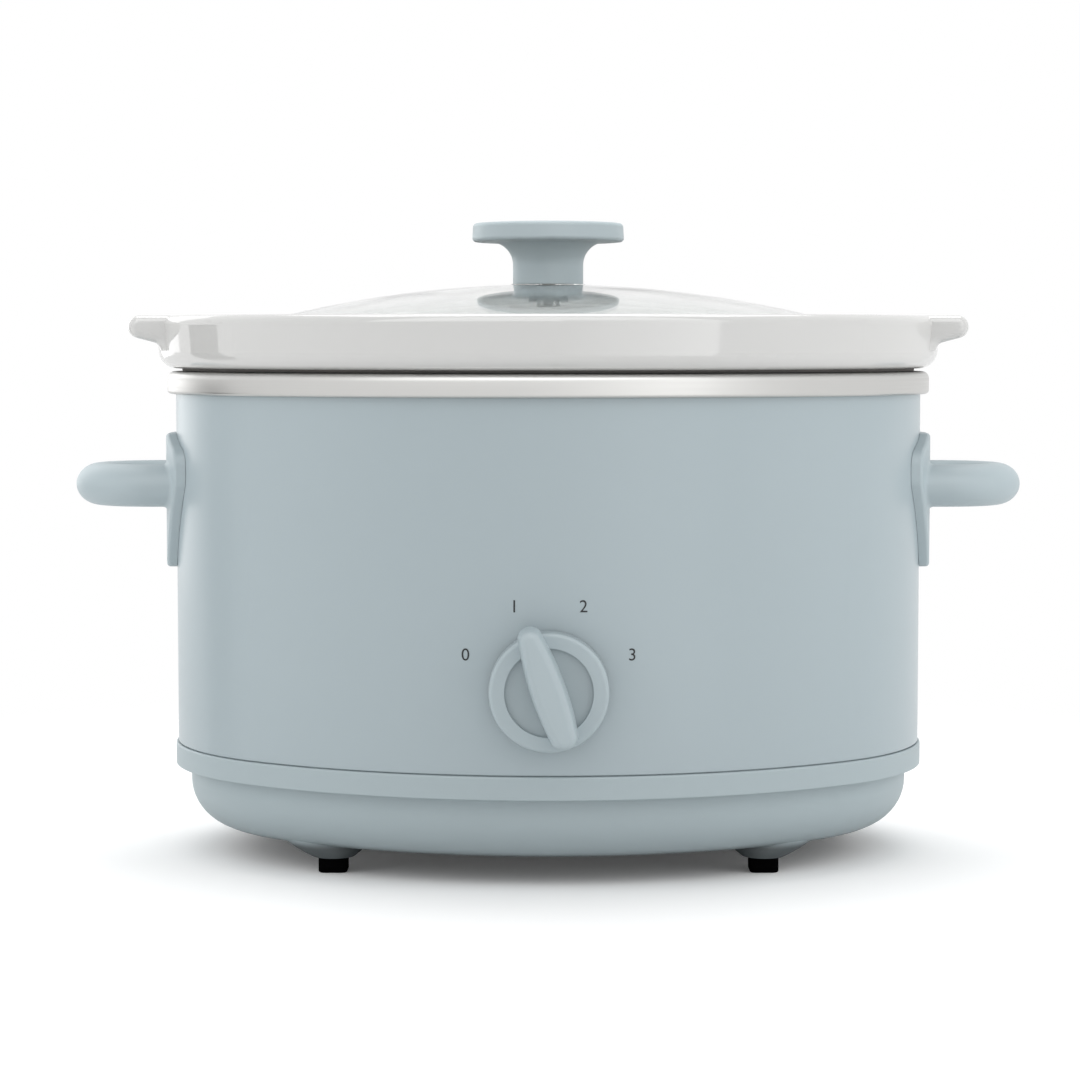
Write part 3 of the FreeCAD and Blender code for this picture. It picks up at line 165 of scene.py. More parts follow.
class CookerStage(PropertyGroup):
    """Camera, floor and lights."""

    camera_distance: length_property("Camera distance", "From the cooker's axis, along the floor", 1.1694)
    camera_height: length_property("Camera height", "Above the floor", 0.1990)
    camera_side: length_property("Camera side step", "To the right of the cooker's axis", -3.2 * MILLIMETRE)
    camera_pitch: angle_property("Camera pitch", "Downward tilt", 3.83)
    focal_length: FloatProperty(
        name="Focal length", description="Lens of the camera, in millimetres", default=98.77, min=1.0)
    world_level: share_property("World level", "Soft light from all round", 0.69)
    floor_colour: colour_property("Floor", "Floor as the cooker sees it", (0.80, 0.80, 0.80))
    floor_lift: share_property("Floor lift", "Light that the camera sees added to the floor", 0.05)
    floor_size: length_property("Floor size", "Side of the floor", 60.0)
    floor_solid: length_property("Floor solid", "Radius within which the floor shows", 0.28)
    floor_clear: length_property("Floor clear", "Radius beyond which only the backdrop shows", 0.50)


def new_tree_node(tree, kind, values=None, **settings):
    """Add a node, set its properties and the defaults of its sockets."""
    node = tree.nodes.new(kind)
    for name, value in settings.items():
        setattr(node, name, value)
    for name, value in (values or {}).items():
        node.inputs[name].default_value = value
    return node


def new_group(name, inputs, outputs):
    """Empty shader group with named sockets; each socket is a name, a kind and a default."""
    tree = bpy.data.node_groups.new(name, "ShaderNodeTree")
    for label, kind, default in inputs:
        socket = tree.interface.new_socket(name=label, in_out="INPUT", socket_type=kind)
        socket.default_value = default
    for label, kind in outputs:
        tree.interface.new_socket(name=label, in_out="OUTPUT", socket_type=kind)
    entry = tree.nodes.new("NodeGroupInput")
    leave = tree.nodes.new("NodeGroupOutput")
    return tree, entry, leave


def found_or_built(name, build):
    """The shader group of that name, built the first time it is asked for."""
    return bpy.data.node_groups.get(name) or build(name)


def object_point(tree):
    return tree.nodes.new("ShaderNodeTexCoord").outputs["Object"]


def build_mottle(name):
    """Slow drift of a colour over a surface, as paint and mouldings have."""
    tree, entry, leave = new_group(
        name,
        [
            ("Colour", "NodeSocketColor", (0.5, 0.5, 0.5, 1.0)),
            ("Amount", "NodeSocketFloat", 0.03),
            ("Scale", "NodeSocketFloat", 20.0),
        ],
        [("Colour", "NodeSocketColor")])
    noise = new_tree_node(tree, "ShaderNodeTexNoise", {"Detail": 4.0, "Roughness": 0.55})
    spread = new_tree_node(tree, "ShaderNodeMath", {1: 0.5}, operation="SUBTRACT")
    swing = new_tree_node(tree, "ShaderNodeMath", operation="MULTIPLY")
    level = new_tree_node(tree, "ShaderNodeMath", {1: 1.0}, operation="ADD")
    tone = new_tree_node(tree, "ShaderNodeVectorMath", operation="SCALE")
    links = tree.links
    links.new(object_point(tree), noise.inputs["Vector"])
    links.new(entry.outputs["Scale"], noise.inputs["Scale"])
    links.new(noise.outputs["Fac"], spread.inputs[0])
    links.new(spread.outputs[0], swing.inputs[0])
    links.new(entry.outputs["Amount"], swing.inputs[1])
    links.new(swing.outputs[0], level.inputs[0])
    links.new(entry.outputs["Colour"], tone.inputs[0])
    links.new(level.outputs[0], tone.inputs["Scale"])
    links.new(tone.outputs[0], leave.inputs["Colour"])
    return tree


def build_orange_peel(name):
    """Fine waviness of sprayed paint or a moulded skin, as a height."""
    tree, entry, leave = new_group(
        name,
        [("Scale", "NodeSocketFloat", 700.0), ("Fine", "NodeSocketFloat", 0.35)],
        [("Height", "NodeSocketFloat")])
    broad = new_tree_node(tree, "ShaderNodeTexNoise", {"Detail": 1.0})
    fine = new_tree_node(tree, "ShaderNodeTexNoise", {"Detail": 2.0})
    triple = new_tree_node(tree, "ShaderNodeMath", {1: 3.0}, operation="MULTIPLY")
    blend = new_tree_node(tree, "ShaderNodeMix", data_type="FLOAT")
    links = tree.links
    point = object_point(tree)
    links.new(point, broad.inputs["Vector"])
    links.new(point, fine.inputs["Vector"])
    links.new(entry.outputs["Scale"], broad.inputs["Scale"])
    links.new(entry.outputs["Scale"], triple.inputs[0])
    links.new(triple.outputs[0], fine.inputs["Scale"])
    links.new(entry.outputs["Fine"], blend.inputs["Factor"])
    links.new(broad.outputs["Fac"], blend.inputs["A"])
    links.new(fine.outputs["Fac"], blend.inputs["B"])
    links.new(blend.outputs["Result"], leave.inputs["Height"])
    return tree


def build_gloss_drift(name):
    """Roughness that wanders a little about its mean."""
    tree, entry, leave = new_group(
        name,
        [
            ("Roughness", "NodeSocketFloat", 0.4),
            ("Amount", "NodeSocketFloat", 0.08),
            ("Scale", "NodeSocketFloat", 60.0),
        ],
        [("Roughness", "NodeSocketFloat")])
    noise = new_tree_node(tree, "ShaderNodeTexNoise", {"Detail": 5.0, "Roughness": 0.6})
    spread = new_tree_node(tree, "ShaderNodeMath", {1: 0.5}, operation="SUBTRACT")
    sum_up = new_tree_node(tree, "ShaderNodeMath", operation="MULTIPLY_ADD")
    links = tree.links
    links.new(object_point(tree), noise.inputs["Vector"])
    links.new(entry.outputs["Scale"], noise.inputs["Scale"])
    links.new(noise.outputs["Fac"], spread.inputs[0])
    links.new(spread.outputs[0], sum_up.inputs[0])
    links.new(entry.outputs["Amount"], sum_up.inputs[1])
    links.new(entry.outputs["Roughness"], sum_up.inputs[2])
    links.new(sum_up.outputs[0], leave.inputs["Roughness"])
    return tree


def build_brushing(name):
    """Streaks that run round the upright axis, as on a ring turned against a brush."""
    tree, entry, leave = new_group(
        name,
        [("Across", "NodeSocketFloat", 2600.0), ("Along", "NodeSocketFloat", 7.0)],
        [("Streak", "NodeSocketFloat")])
    parts = tree.nodes.new("ShaderNodeSeparateXYZ")
    turn = new_tree_node(tree, "ShaderNodeMath", operation="ARCTAN2")
    around = new_tree_node(tree, "ShaderNodeMath", operation="MULTIPLY")
    radius = new_tree_node(tree, "ShaderNodeVectorMath", operation="LENGTH")
    flat = new_tree_node(tree, "ShaderNodeCombineXYZ")
    across = new_tree_node(tree, "ShaderNodeMath", operation="MULTIPLY")
    depth = new_tree_node(tree, "ShaderNodeMath", operation="MULTIPLY")
    place = new_tree_node(tree, "ShaderNodeCombineXYZ")
    noise = new_tree_node(tree, "ShaderNodeTexNoise", {"Scale": 1.0, "Detail": 3.0, "Roughness": 0.7})
    links = tree.links
    links.new(object_point(tree), parts.inputs[0])
    links.new(parts.outputs["Y"], turn.inputs[0])
    links.new(parts.outputs["X"], turn.inputs[1])
    links.new(turn.outputs[0], around.inputs[0])
    links.new(entry.outputs["Along"], around.inputs[1])
    links.new(parts.outputs["X"], flat.inputs["X"])
    links.new(parts.outputs["Y"], flat.inputs["Y"])
    links.new(flat.outputs[0], radius.inputs[0])
    links.new(radius.outputs["Value"], depth.inputs[0])
    links.new(entry.outputs["Along"], depth.inputs[1])
    links.new(parts.outputs["Z"], across.inputs[0])
    links.new(entry.outputs["Across"], across.inputs[1])
    links.new(around.outputs[0], place.inputs["X"])
    links.new(depth.outputs[0], place.inputs["Y"])
    links.new(across.outputs[0], place.inputs["Z"])
    links.new(place.outputs[0], noise.inputs["Vector"])
    links.new(noise.outputs["Fac"], leave.inputs["Streak"])
    return tree


def build_weave(name):
    """Basket weave of a woven sleeve, as a height."""
    tree, entry, leave = new_group(
        name, [("Scale", "NodeSocketFloat", 420.0)], [("Height", "NodeSocketFloat")])
    over = new_tree_node(tree, "ShaderNodeTexWave", {"Distortion": 1.5}, bands_direction="Z")
    under = new_tree_node(tree, "ShaderNodeTexWave", {"Distortion": 1.5}, bands_direction="DIAGONAL")
    cross = new_tree_node(tree, "ShaderNodeMath", operation="MULTIPLY")
    links = tree.links
    point = object_point(tree)
    for wave in (over, under):
        links.new(point, wave.inputs["Vector"])
        links.new(entry.outputs["Scale"], wave.inputs["Scale"])
    links.new(over.outputs["Fac"], cross.inputs[0])
    links.new(under.outputs["Fac"], cross.inputs[1])
    links.new(cross.outputs[0], leave.inputs["Height"])
    return tree


def build_height_band(name):
    """Mask of what lies between two heights."""
    tree, entry, leave = new_group(
        name,
        [("Low", "NodeSocketFloat", 0.0), ("High", "NodeSocketFloat", 0.01)],
        [("Mask", "NodeSocketFloat")])
    parts = tree.nodes.new("ShaderNodeSeparateXYZ")
    mean = new_tree_node(tree, "ShaderNodeMath", operation="ADD")
    middle = new_tree_node(tree, "ShaderNodeMath", {1: 0.5}, operation="MULTIPLY")
    half = new_tree_node(tree, "ShaderNodeMath", operation="SUBTRACT")
    mask = new_tree_node(tree, "ShaderNodeMath", operation="COMPARE")
    links = tree.links
    links.new(object_point(tree), parts.inputs[0])
    links.new(entry.outputs["Low"], mean.inputs[0])
    links.new(entry.outputs["High"], mean.inputs[1])
    links.new(mean.outputs[0], middle.inputs[0])
    links.new(entry.outputs["High"], half.inputs[0])
    links.new(middle.outputs[0], half.inputs[1])
    links.new(parts.outputs["Z"], mask.inputs[0])
    links.new(middle.outputs[0], mask.inputs[1])
    links.new(half.outputs[0], mask.inputs[2])
    links.new(mask.outputs[0], leave.inputs["Mask"])
    return tree


def build_low_shade(name):
    """Painted shade: colour that darkens towards the table."""
    tree, entry, leave = new_group(
        name,
        [
            ("Colour", "NodeSocketColor", (0.5, 0.5, 0.5, 1.0)),
            ("Low", "NodeSocketFloat", 0.009),
            ("High", "NodeSocketFloat", 0.013),
            ("Shade", "NodeSocketFloat", 0.4),
        ],
        [("Colour", "NodeSocketColor")])
    parts = tree.nodes.new("ShaderNodeSeparateXYZ")
    level = new_tree_node(tree, "ShaderNodeMapRange", {"To Max": 1.0}, interpolation_type="SMOOTHSTEP")
    tone = new_tree_node(tree, "ShaderNodeVectorMath", operation="SCALE")
    links = tree.links
    links.new(object_point(tree), parts.inputs[0])
    links.new(parts.outputs["Z"], level.inputs["Value"])
    links.new(entry.outputs["Low"], level.inputs["From Min"])
    links.new(entry.outputs["High"], level.inputs["From Max"])
    links.new(entry.outputs["Shade"], level.inputs["To Min"])
    links.new(entry.outputs["Colour"], tone.inputs[0])
    links.new(level.outputs["Result"], tone.inputs["Scale"])
    links.new(tone.outputs[0], leave.inputs["Colour"])
    return tree


def build_dish_shade(name):
    """Painted shade: colour that is darker behind a depth, for the dish of the dial."""
    tree, entry, leave = new_group(
        name,
        [
            ("Colour", "NodeSocketColor", (0.5, 0.5, 0.5, 1.0)),
            ("Front", "NodeSocketFloat", 0.0),
            ("Shade", "NodeSocketFloat", 0.8),
        ],
        [("Colour", "NodeSocketColor")])
    parts = tree.nodes.new("ShaderNodeSeparateXYZ")
    behind = new_tree_node(tree, "ShaderNodeMath", operation="GREATER_THAN")
    level = new_tree_node(tree, "ShaderNodeMapRange", {"To Min": 1.0})
    tone = new_tree_node(tree, "ShaderNodeVectorMath", operation="SCALE")
    links = tree.links
    links.new(object_point(tree), parts.inputs[0])
    links.new(parts.outputs["Y"], behind.inputs[0])
    links.new(entry.outputs["Front"], behind.inputs[1])
    links.new(behind.outputs[0], level.inputs["Value"])
    links.new(entry.outputs["Shade"], level.inputs["To Max"])
    links.new(entry.outputs["Colour"], tone.inputs[0])
    links.new(level.outputs["Result"], tone.inputs["Scale"])
    links.new(tone.outputs[0], leave.inputs["Colour"])
    return tree


def opaque(colour):
    return (*colour, 1.0)


class Finish:
    """A material with one surface shader, and short ways to feed it."""

    def __init__(self, name):
        self.material = bpy.data.materials.new(name)
        self.material.use_nodes = True
        self.tree = self.material.node_tree
        self.shader = self.tree.nodes["Principled BSDF"]

    def set(self, **values):
        """Set sockets that are the same all over, named with underscores for spaces."""
        for name, value in values.items():
            self.shader.inputs[name.replace("_", " ")].default_value = value
        return self

    def group(self, name, build, **values):
        node = self.tree.nodes.new("ShaderNodeGroup")
        node.node_tree = found_or_built(name, build)
        for label, value in values.items():
            node.inputs[label].default_value = value
        return node

    def feed(self, socket, target):
        self.tree.links.new(socket, self.shader.inputs[target])
        return self

    def mottled(self, colour, amount, scale):
        node = self.group(
            "Cooker Mottle", build_mottle, Colour=opaque(colour), Amount=amount, Scale=scale)
        return self.feed(node.outputs["Colour"], "Base Color")

    def gloss(self, roughness, amount, scale):
        node = self.group(
            "Cooker Gloss Drift", build_gloss_drift, Roughness=roughness, Amount=amount, Scale=scale)
        return self.feed(node.outputs["Roughness"], "Roughness")

    def bumped(self, height, depth, strength=1.0):
        bump = new_tree_node(self.tree, "ShaderNodeBump", {"Distance": depth, "Strength": strength})
        self.tree.links.new(height, bump.inputs["Height"])
        return self.feed(bump.outputs["Normal"], "Normal")

    def peeled(self, scale, depth, fine=0.35):
        node = self.group("Cooker Orange Peel", build_orange_peel, Scale=scale, Fine=fine)
        return self.bumped(node.outputs["Height"], depth)

    def put_on(self, *nodes):
        for node in nodes:
            slots = frame["nodes"][node].data.materials
            slots.clear()
            slots.append(self.material)
        return self


class COOKER_OT_paint_wall(Operator):
    """Satin paint on the wall"""

    bl_idname = "cooker.paint_wall"
    bl_label = "Paint Wall"

    def execute(self, context):
        looks = context.scene.cooker_finish
        finish = Finish("wall_paint")
        finish.mottled(looks.wall_colour, amount=0.025, scale=14.0)
        finish.gloss(looks.paint_roughness, amount=0.06, scale=45.0)
        finish.peeled(scale=520.0, depth=0.012 * MILLIMETRE)
        finish.set(Specular_IOR_Level=0.45)
        finish.put_on("outer_wrap")
        return {"FINISHED"}


class COOKER_OT_finish_base(Operator):
    """Moulded skin of the base, with painted shade darkening it towards the table and under its bosses"""

    bl_idname = "cooker.finish_base"
    bl_label = "Finish Base"

    def execute(self, context):
        looks = context.scene.cooker_finish
        finish = Finish("base_plastic")
        mottle = finish.group(
            "Cooker Mottle", build_mottle, Colour=opaque(looks.base_colour), Amount=0.03, Scale=22.0)
        # Painted shade: the base darkens towards the table and under its bosses.
        shade = finish.group(
            "Cooker Painted Low Shade", build_low_shade,
            Low=looks.boss_dark_height, High=looks.boss_clear_height, Shade=looks.boss_shade)
        finish.tree.links.new(mottle.outputs["Colour"], shade.inputs["Colour"])
        finish.feed(shade.outputs["Colour"], "Base Color")
        finish.gloss(looks.trim_roughness, amount=0.08, scale=70.0)
        finish.peeled(scale=1500.0, depth=0.010 * MILLIMETRE, fine=0.5)
        finish.put_on("base_tub")
        return {"FINISHED"}


def trim_plastic(name, colour, roughness):
    """Satin moulded plastic with a faint spark-eroded grain."""
    finish = Finish(name)
    finish.mottled(colour, amount=0.025, scale=40.0)
    finish.gloss(roughness, amount=0.08, scale=90.0)
    finish.peeled(scale=1800.0, depth=0.008 * MILLIMETRE, fine=0.5)
    return finish


class COOKER_OT_finish_trim(Operator):
    """Moulded handles, dial and lid knob, with painted shade in the dial's dish and the knob painted lighter
    as painted light
    """

    bl_idname = "cooker.finish_trim"
    bl_label = "Finish Trim"

    def execute(self, context):
        looks = context.scene.cooker_finish
        handles = trim_plastic("handle_plastic", looks.trim_colour, looks.trim_roughness)
        handles.put_on("handle_left", "handle_right")
        # Painted light: the knob gets the trim's plastic in a lighter colour.
        knob = trim_plastic("knob_plastic_painted_lighter", looks.knob_colour, looks.trim_roughness)
        knob.put_on("lid_knob")
        dial = trim_plastic("dial_plastic", looks.trim_colour, looks.trim_roughness)
        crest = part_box("dial_knob")[0].y
        # Painted shade in the dial's dish.
        shade = dial.group(
            "Cooker Painted Dish Shade", build_dish_shade, Colour=opaque(looks.trim_colour),
            Front=crest + looks.dish_start, Shade=looks.dish_shade)
        dial.feed(shade.outputs["Colour"], "Base Color")
        dial.put_on("dial_knob")
        return {"FINISHED"}


class COOKER_OT_brush_rim(Operator):
    """Brushed metal of the rim"""

    bl_idname = "cooker.brush_rim"
    bl_label = "Brush Rim"

    def execute(self, context):
        looks = context.scene.cooker_finish
        finish = Finish("rim_steel")
        streaks = finish.group("Cooker Brushing", build_brushing, Across=2600.0, Along=2.5)
        ramp = new_tree_node(finish.tree, "ShaderNodeMapRange", {
            "From Min": 0.3, "From Max": 0.7,
            "To Min": looks.steel_roughness - 0.06, "To Max": looks.steel_roughness + 0.10})
        finish.tree.links.new(streaks.outputs["Streak"], ramp.inputs["Value"])
        finish.feed(ramp.outputs["Result"], "Roughness")
        finish.bumped(streaks.outputs["Streak"], depth=0.004 * MILLIMETRE)
        finish.mottled(looks.steel_colour, amount=0.05, scale=30.0)
        finish.set(Metallic=1.0)
        band = new_rim_band(context.scene.cooker_rim)
        band.data.materials.append(finish.material)
        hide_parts("rim_ring")
        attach(band, "cooker")
        return {"FINISHED"}


def quarter_round(out, height, radius, start):
    """Points of a quarter circle about a middle, from a start angle in degrees."""
    angles = [math.radians(start + 90 * step / ROUND_STEPS) for step in range(ROUND_STEPS + 1)]
    return [(out + radius * math.cos(angle), height + radius * math.sin(angle)) for angle in angles]


def rim_section(rim):
    """Closed outline of the rim, as distances out from the wall and heights."""
    low, high = (corner.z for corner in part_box("rim_ring"))
    inner = rim.proud - rim.width
    lower_edge = quarter_round(rim.proud - rim.edge_round, low + rim.edge_round, rim.edge_round, -90)
    upper_edge = quarter_round(rim.proud - rim.outer_round, high - rim.outer_round, rim.outer_round, 0)
    inner_edge = quarter_round(inner + rim.edge_round, high - rim.edge_round, rim.edge_round, 90)
    near = rim.groove_gap
    far = rim.groove_gap - rim.groove_width
    roof = low + rim.groove_depth
    groove = [(inner, low), (far, low), (far, roof), (near, roof), (near, low)]
    return lower_edge + upper_edge + inner_edge + groove


def wall_arcs(rim):
    """How far the middles of the wall's end and side arcs stand off the axis, and their radii."""
    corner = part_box("rim_ring")[1]
    end_shift = corner.x - rim.proud - rim.end_radius
    flatness = corner.y - rim.proud - rim.end_radius
    side_shift = (end_shift ** 2 - flatness ** 2) / (2 * flatness)
    return end_shift, side_shift, rim.end_radius, rim.end_radius + flatness + side_shift


def wall_point(arcs, heading, out):
    """Point at a distance out from the wall, where the wall faces a heading."""
    end_shift, side_shift, end_radius, side_radius = arcs
    along = math.cos(heading)
    across = math.sin(heading)
    if abs(across) * end_shift < abs(along) * side_shift:
        radius = end_radius + out
        return math.copysign(end_shift, along) + radius * along, radius * across
    radius = side_radius + out
    return radius * along, radius * across - math.copysign(side_shift, across)


def new_rim_band(rim):
    """The rim, cut finely enough for its rounds to shine evenly."""
    section = rim_section(rim)
    arcs = wall_arcs(rim)
    count = len(section)
    points = []
    faces = []
    for turn in range(RIM_TURNS):
        heading = 2 * math.pi * turn / RIM_TURNS
        points += [(*wall_point(arcs, heading, out), height) for out, height in section]
        here = turn * count
        there = (turn + 1) % RIM_TURNS * count
        for corner in range(count):
            after = (corner + 1) % count
            faces.append((here + corner, there + corner, there + after, here + after))
    mesh = bpy.data.meshes.new("rim_band")
    mesh.from_pydata(points, [], faces)
    mesh.shade_smooth()
    mesh.set_sharp_from_angle(angle=SHARP_EDGE)
    band = bpy.data.objects.new("rim_band", mesh)
    bpy.context.scene.collection.objects.link(band)
    return band


class COOKER_OT_glaze_crock(Operator):
    """Glossy glaze over stoneware, with a band of bare stoneware darkened as painted shade where the crock
    rests
    """

    bl_idname = "cooker.glaze_crock"
    bl_label = "Glaze Crock"

    def execute(self, context):
        looks = context.scene.cooker_finish
        finish = Finish("stoneware")
        mottle = finish.group(
            "Cooker Mottle", build_mottle, Colour=opaque(looks.glaze_colour), Amount=0.03, Scale=12.0)
        rim_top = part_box("rim_ring")[1].z
        # Painted shade: a band at the rim's height is bare stoneware darkened for the shadow in the gap under
        # the collar; it runs by height alone, so it darkens the crock's inside at that height too.
        band = finish.group(
            "Cooker Height Band", build_height_band,
            Low=rim_top - MILLIMETRE, High=rim_top + looks.seat_height)
        tint = new_tree_node(finish.tree, "ShaderNodeMix", data_type="RGBA")
        tint.inputs["B"].default_value = opaque(looks.seat_colour)
        finish.tree.links.new(band.outputs["Mask"], tint.inputs["Factor"])
        finish.tree.links.new(mottle.outputs["Colour"], tint.inputs["A"])
        finish.feed(tint.outputs["Result"], "Base Color")
        gloss = finish.group(
            "Cooker Gloss Drift", build_gloss_drift, Roughness=looks.glaze_roughness, Amount=0.03, Scale=25.0)
        dull = new_tree_node(finish.tree, "ShaderNodeMix", {"B": looks.seat_roughness}, data_type="FLOAT")
        finish.tree.links.new(band.outputs["Mask"], dull.inputs["Factor"])
        finish.tree.links.new(gloss.outputs["Roughness"], dull.inputs["A"])
        finish.feed(dull.outputs["Result"], "Roughness")
        finish.peeled(scale=60.0, depth=0.03 * MILLIMETRE, fine=0.1)
        finish.set(IOR=looks.glaze_index)
        finish.put_on("crock")
        return {"FINISHED"}


class COOKER_OT_clear_lid(Operator):
    """Clear glass of the lid"""

    bl_idname = "cooker.clear_lid"
    bl_label = "Clear Lid"

    def execute(self, context):
        looks = context.scene.cooker_finish
        finish = Finish("lid_glass")
        finish.set(Base_Color=opaque(looks.glass_colour), Roughness=0.02, IOR=1.50, Transmission_Weight=1.0)
        ripple = finish.group("Cooker Orange Peel", build_orange_peel, Scale=35.0, Fine=0.0)
        finish.bumped(ripple.outputs["Height"], depth=0.05 * MILLIMETRE)
        finish.put_on("lid_glass")
        return {"FINISHED"}


class COOKER_OT_finish_rubber(Operator):
    """Rubber feet, washer and gland"""

    bl_idname = "cooker.finish_rubber"
    bl_label = "Finish Rubber"

    def execute(self, context):
        looks = context.scene.cooker_finish
        finish = Finish("foot_rubber")
        finish.mottled(looks.rubber_colour, amount=0.3, scale=90.0)
        finish.gloss(0.6, amount=0.15, scale=120.0)
        finish.set(Specular_IOR_Level=0.0)
        finish.peeled(scale=1600.0, depth=0.02 * MILLIMETRE, fine=0.5)
        feet = [f"foot_{row}_{side}" for row in ("front", "rear") for side in ("left", "right")]
        finish.put_on(*feet, "cord_gland")
        washer = Finish("clear_silicone")
        washer.mottled(looks.washer_colour, amount=0.05, scale=120.0)
        washer.gloss(0.45, amount=0.1, scale=150.0)
        washer.put_on("lid_washer")
        return {"FINISHED"}


class COOKER_OT_finish_inside(Operator):
    """Metal, plastic and sleeving inside the cooker"""

    bl_idname = "cooker.finish_inside"
    bl_label = "Finish Inside"

    def execute(self, context):
        looks = context.scene.cooker_finish
        sheet = Finish("pan_aluminium")
        sheet.mottled(looks.sheet_colour, amount=0.08, scale=30.0)
        sheet.gloss(0.38, amount=0.15, scale=40.0)
        drawn = sheet.group("Cooker Brushing", build_brushing, Across=900.0, Along=12.0)
        sheet.bumped(drawn.outputs["Streak"], depth=0.01 * MILLIMETRE, strength=0.4)
        sheet.set(Metallic=1.0)
        sheet.put_on("heating_pan", "heat_shield")
        zinc = Finish("fastener_steel")
        zinc.mottled(looks.zinc_colour, amount=0.12, scale=160.0)
        zinc.gloss(0.3, amount=0.15, scale=200.0)
        zinc.set(Metallic=1.0)
        zinc.put_on(
            "base_screws", "base_nuts", "shield_spacers", "handle_screws", "switch_screws",
            "switch_shaft", "lid_screw", "fuse_clip", "thermal_fuse")
        sleeve = Finish("heater_wrap")
        sleeve.mottled(looks.weave_colour, amount=0.15, scale=60.0)
        sleeve.gloss(0.85, amount=0.1, scale=80.0)
        weave = sleeve.group("Cooker Weave", build_weave)
        sleeve.bumped(weave.outputs["Height"], depth=0.2 * MILLIMETRE)
        sleeve.put_on("heater_band")
        moulding = Finish("dark_plastic")
        moulding.mottled(looks.moulding_colour, amount=0.2, scale=80.0)
        moulding.gloss(0.5, amount=0.1, scale=90.0)
        moulding.peeled(scale=1500.0, depth=0.01 * MILLIMETRE)
        moulding.put_on("switch_saddle", "rotary_switch", "terminal_block")
        lead = Finish("lead_sleeve")
        lead.mottled(looks.lead_colour, amount=0.1, scale=90.0)
        lead.gloss(0.55, amount=0.1, scale=120.0)
        lead.put_on("supply_leads", "switch_leads")
        return {"FINISHED"}


class COOKER_OT_print_numerals(Operator):
    """Plain numerals at the dial's settings"""

    bl_idname = "cooker.print_numerals"
    bl_label = "Print Numerals"

    def execute(self, context):
        sizes = context.scene.cooker_numerals
        looks = context.scene.cooker_finish
        ink = Finish("numeral_ink")
        ink.mottled(looks.numeral_colour, amount=0.2, scale=400.0)
        ink.gloss(0.5, amount=0.1, scale=300.0)
        axis = dial_axis()
        curve = wall_curve()
        for number in range(SETTINGS):
            angle = (number - (SETTINGS - 1) / 2) * sizes.step_angle
            x = axis.x + sizes.ring_radius * math.sin(angle)
            z = axis.z + sizes.ring_radius * math.cos(angle)
            digit = new_digit(str(number), sizes.digit_height, ink.material)
            wrap_digit(digit, x, z, curve, sizes.ink_depth)
            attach(digit, "cooker")
        return {"FINISHED"}


def dial_axis():
    """A point on the dial's axis."""
    joint = next(joint for joint in frame["joints"] if joint["name"] == "dial_turn")
    return Vector(joint["pos_m"])


def wall_curve():
    """Centre and radius, in plan, of the arc that the front of the wall follows."""
    low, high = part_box("outer_wrap")
    front = low.y
    edge = [vertex.co for vertex in frame["nodes"]["outer_wrap"].data.vertices if vertex.co.y < front * 0.8]
    outer = max(edge, key=lambda point: abs(point.x))
    rise = outer.y - front
    radius = (outer.x * outer.x + rise * rise) / (2 * rise)
    return front + radius, radius


def new_digit(text, height, material):
    """Flat numeral, centred on its own origin, as a mesh in its own XY plane."""
    curve = bpy.data.curves.new(f"numeral_{text}", "FONT")
    curve.body = text
    curve.align_x = "CENTER"
    curve.align_y = "CENTER"
    curve.resolution_u = 12
    holder = bpy.data.objects.new(f"numeral_{text}_text", curve)
    bpy.context.scene.collection.objects.link(holder)
    bpy.context.view_layer.update()
    mesh = bpy.data.meshes.new_from_object(holder.evaluated_get(bpy.context.evaluated_depsgraph_get()))
    bpy.data.objects.remove(holder)
    tops = [vertex.co.y for vertex in mesh.vertices]
    scale = height / (max(tops) - min(tops))
    mesh.transform(Matrix.Scale(scale, 4))
    mesh.materials.clear()
    mesh.materials.append(material)
    digit = bpy.data.objects.new(f"numeral_{text}", mesh)
    bpy.context.scene.collection.objects.link(digit)
    return digit


def wrap_digit(digit, x, z, curve, depth):
    """Lay a flat numeral on the front of the wall, bent to its arc."""
    centre_y, radius = curve
    for vertex in digit.data.vertices:
        turn = math.asin((x + vertex.co.x) / radius)
        reach = radius + depth
        vertex.co = Vector((reach * math.sin(turn), centre_y - reach * math.cos(turn), z + vertex.co.y))


# Name, place, width and height, watts, and whether reflections show it.
SOFTBOXES = (
    ("right_softbox", (0.92, -0.38, 0.42), (0.60, 0.80), 3.0, False),
    ("left_softbox", (-0.683, 0.66, 0.42), (0.52, 0.80), 1.4, True),
    ("fill_softbox", (-1.15, -0.45, 0.50), (0.90, 0.90), 4.0, False),
    ("front_softbox", (0.0, -1.10, 1.30), (1.4, 0.9), 1.6, False),
    ("top_softbox", (0.0, 0.50, 1.8), (1.6, 1.1), 14.5, True),
)

# Name, place in plan, width, lowest and highest edge, and brightness at its two upright edges.
CARDS = (
    ("left_flag", (-0.775, 0.105), 0.27, (-0.3, 0.17), (0.0, 0.0)),
    ("right_card", (0.42, -1.065), 0.81, (-0.3, 0.9), (1.0, 1.9)),
    ("brim_card", (0.0, -1.2), 2.4, (0.65, 4.0), (2.1, 2.1)),
)


class COOKER_OT_set_stage(Operator):
    """White floor and backdrop, soft lights and the camera"""

    bl_idname = "cooker.set_stage"
    bl_label = "Set Stage"

    def execute(self, context):
        stage = context.scene.cooker_stage
        context.scene.view_settings.view_transform = "Standard"
        set_world(context.scene, stage)
        add_floor(stage)
        for softbox in SOFTBOXES:
            add_softbox(*softbox)
        for card in CARDS:
            add_card(*card)
        add_camera(context.scene, stage)
        return {"FINISHED"}


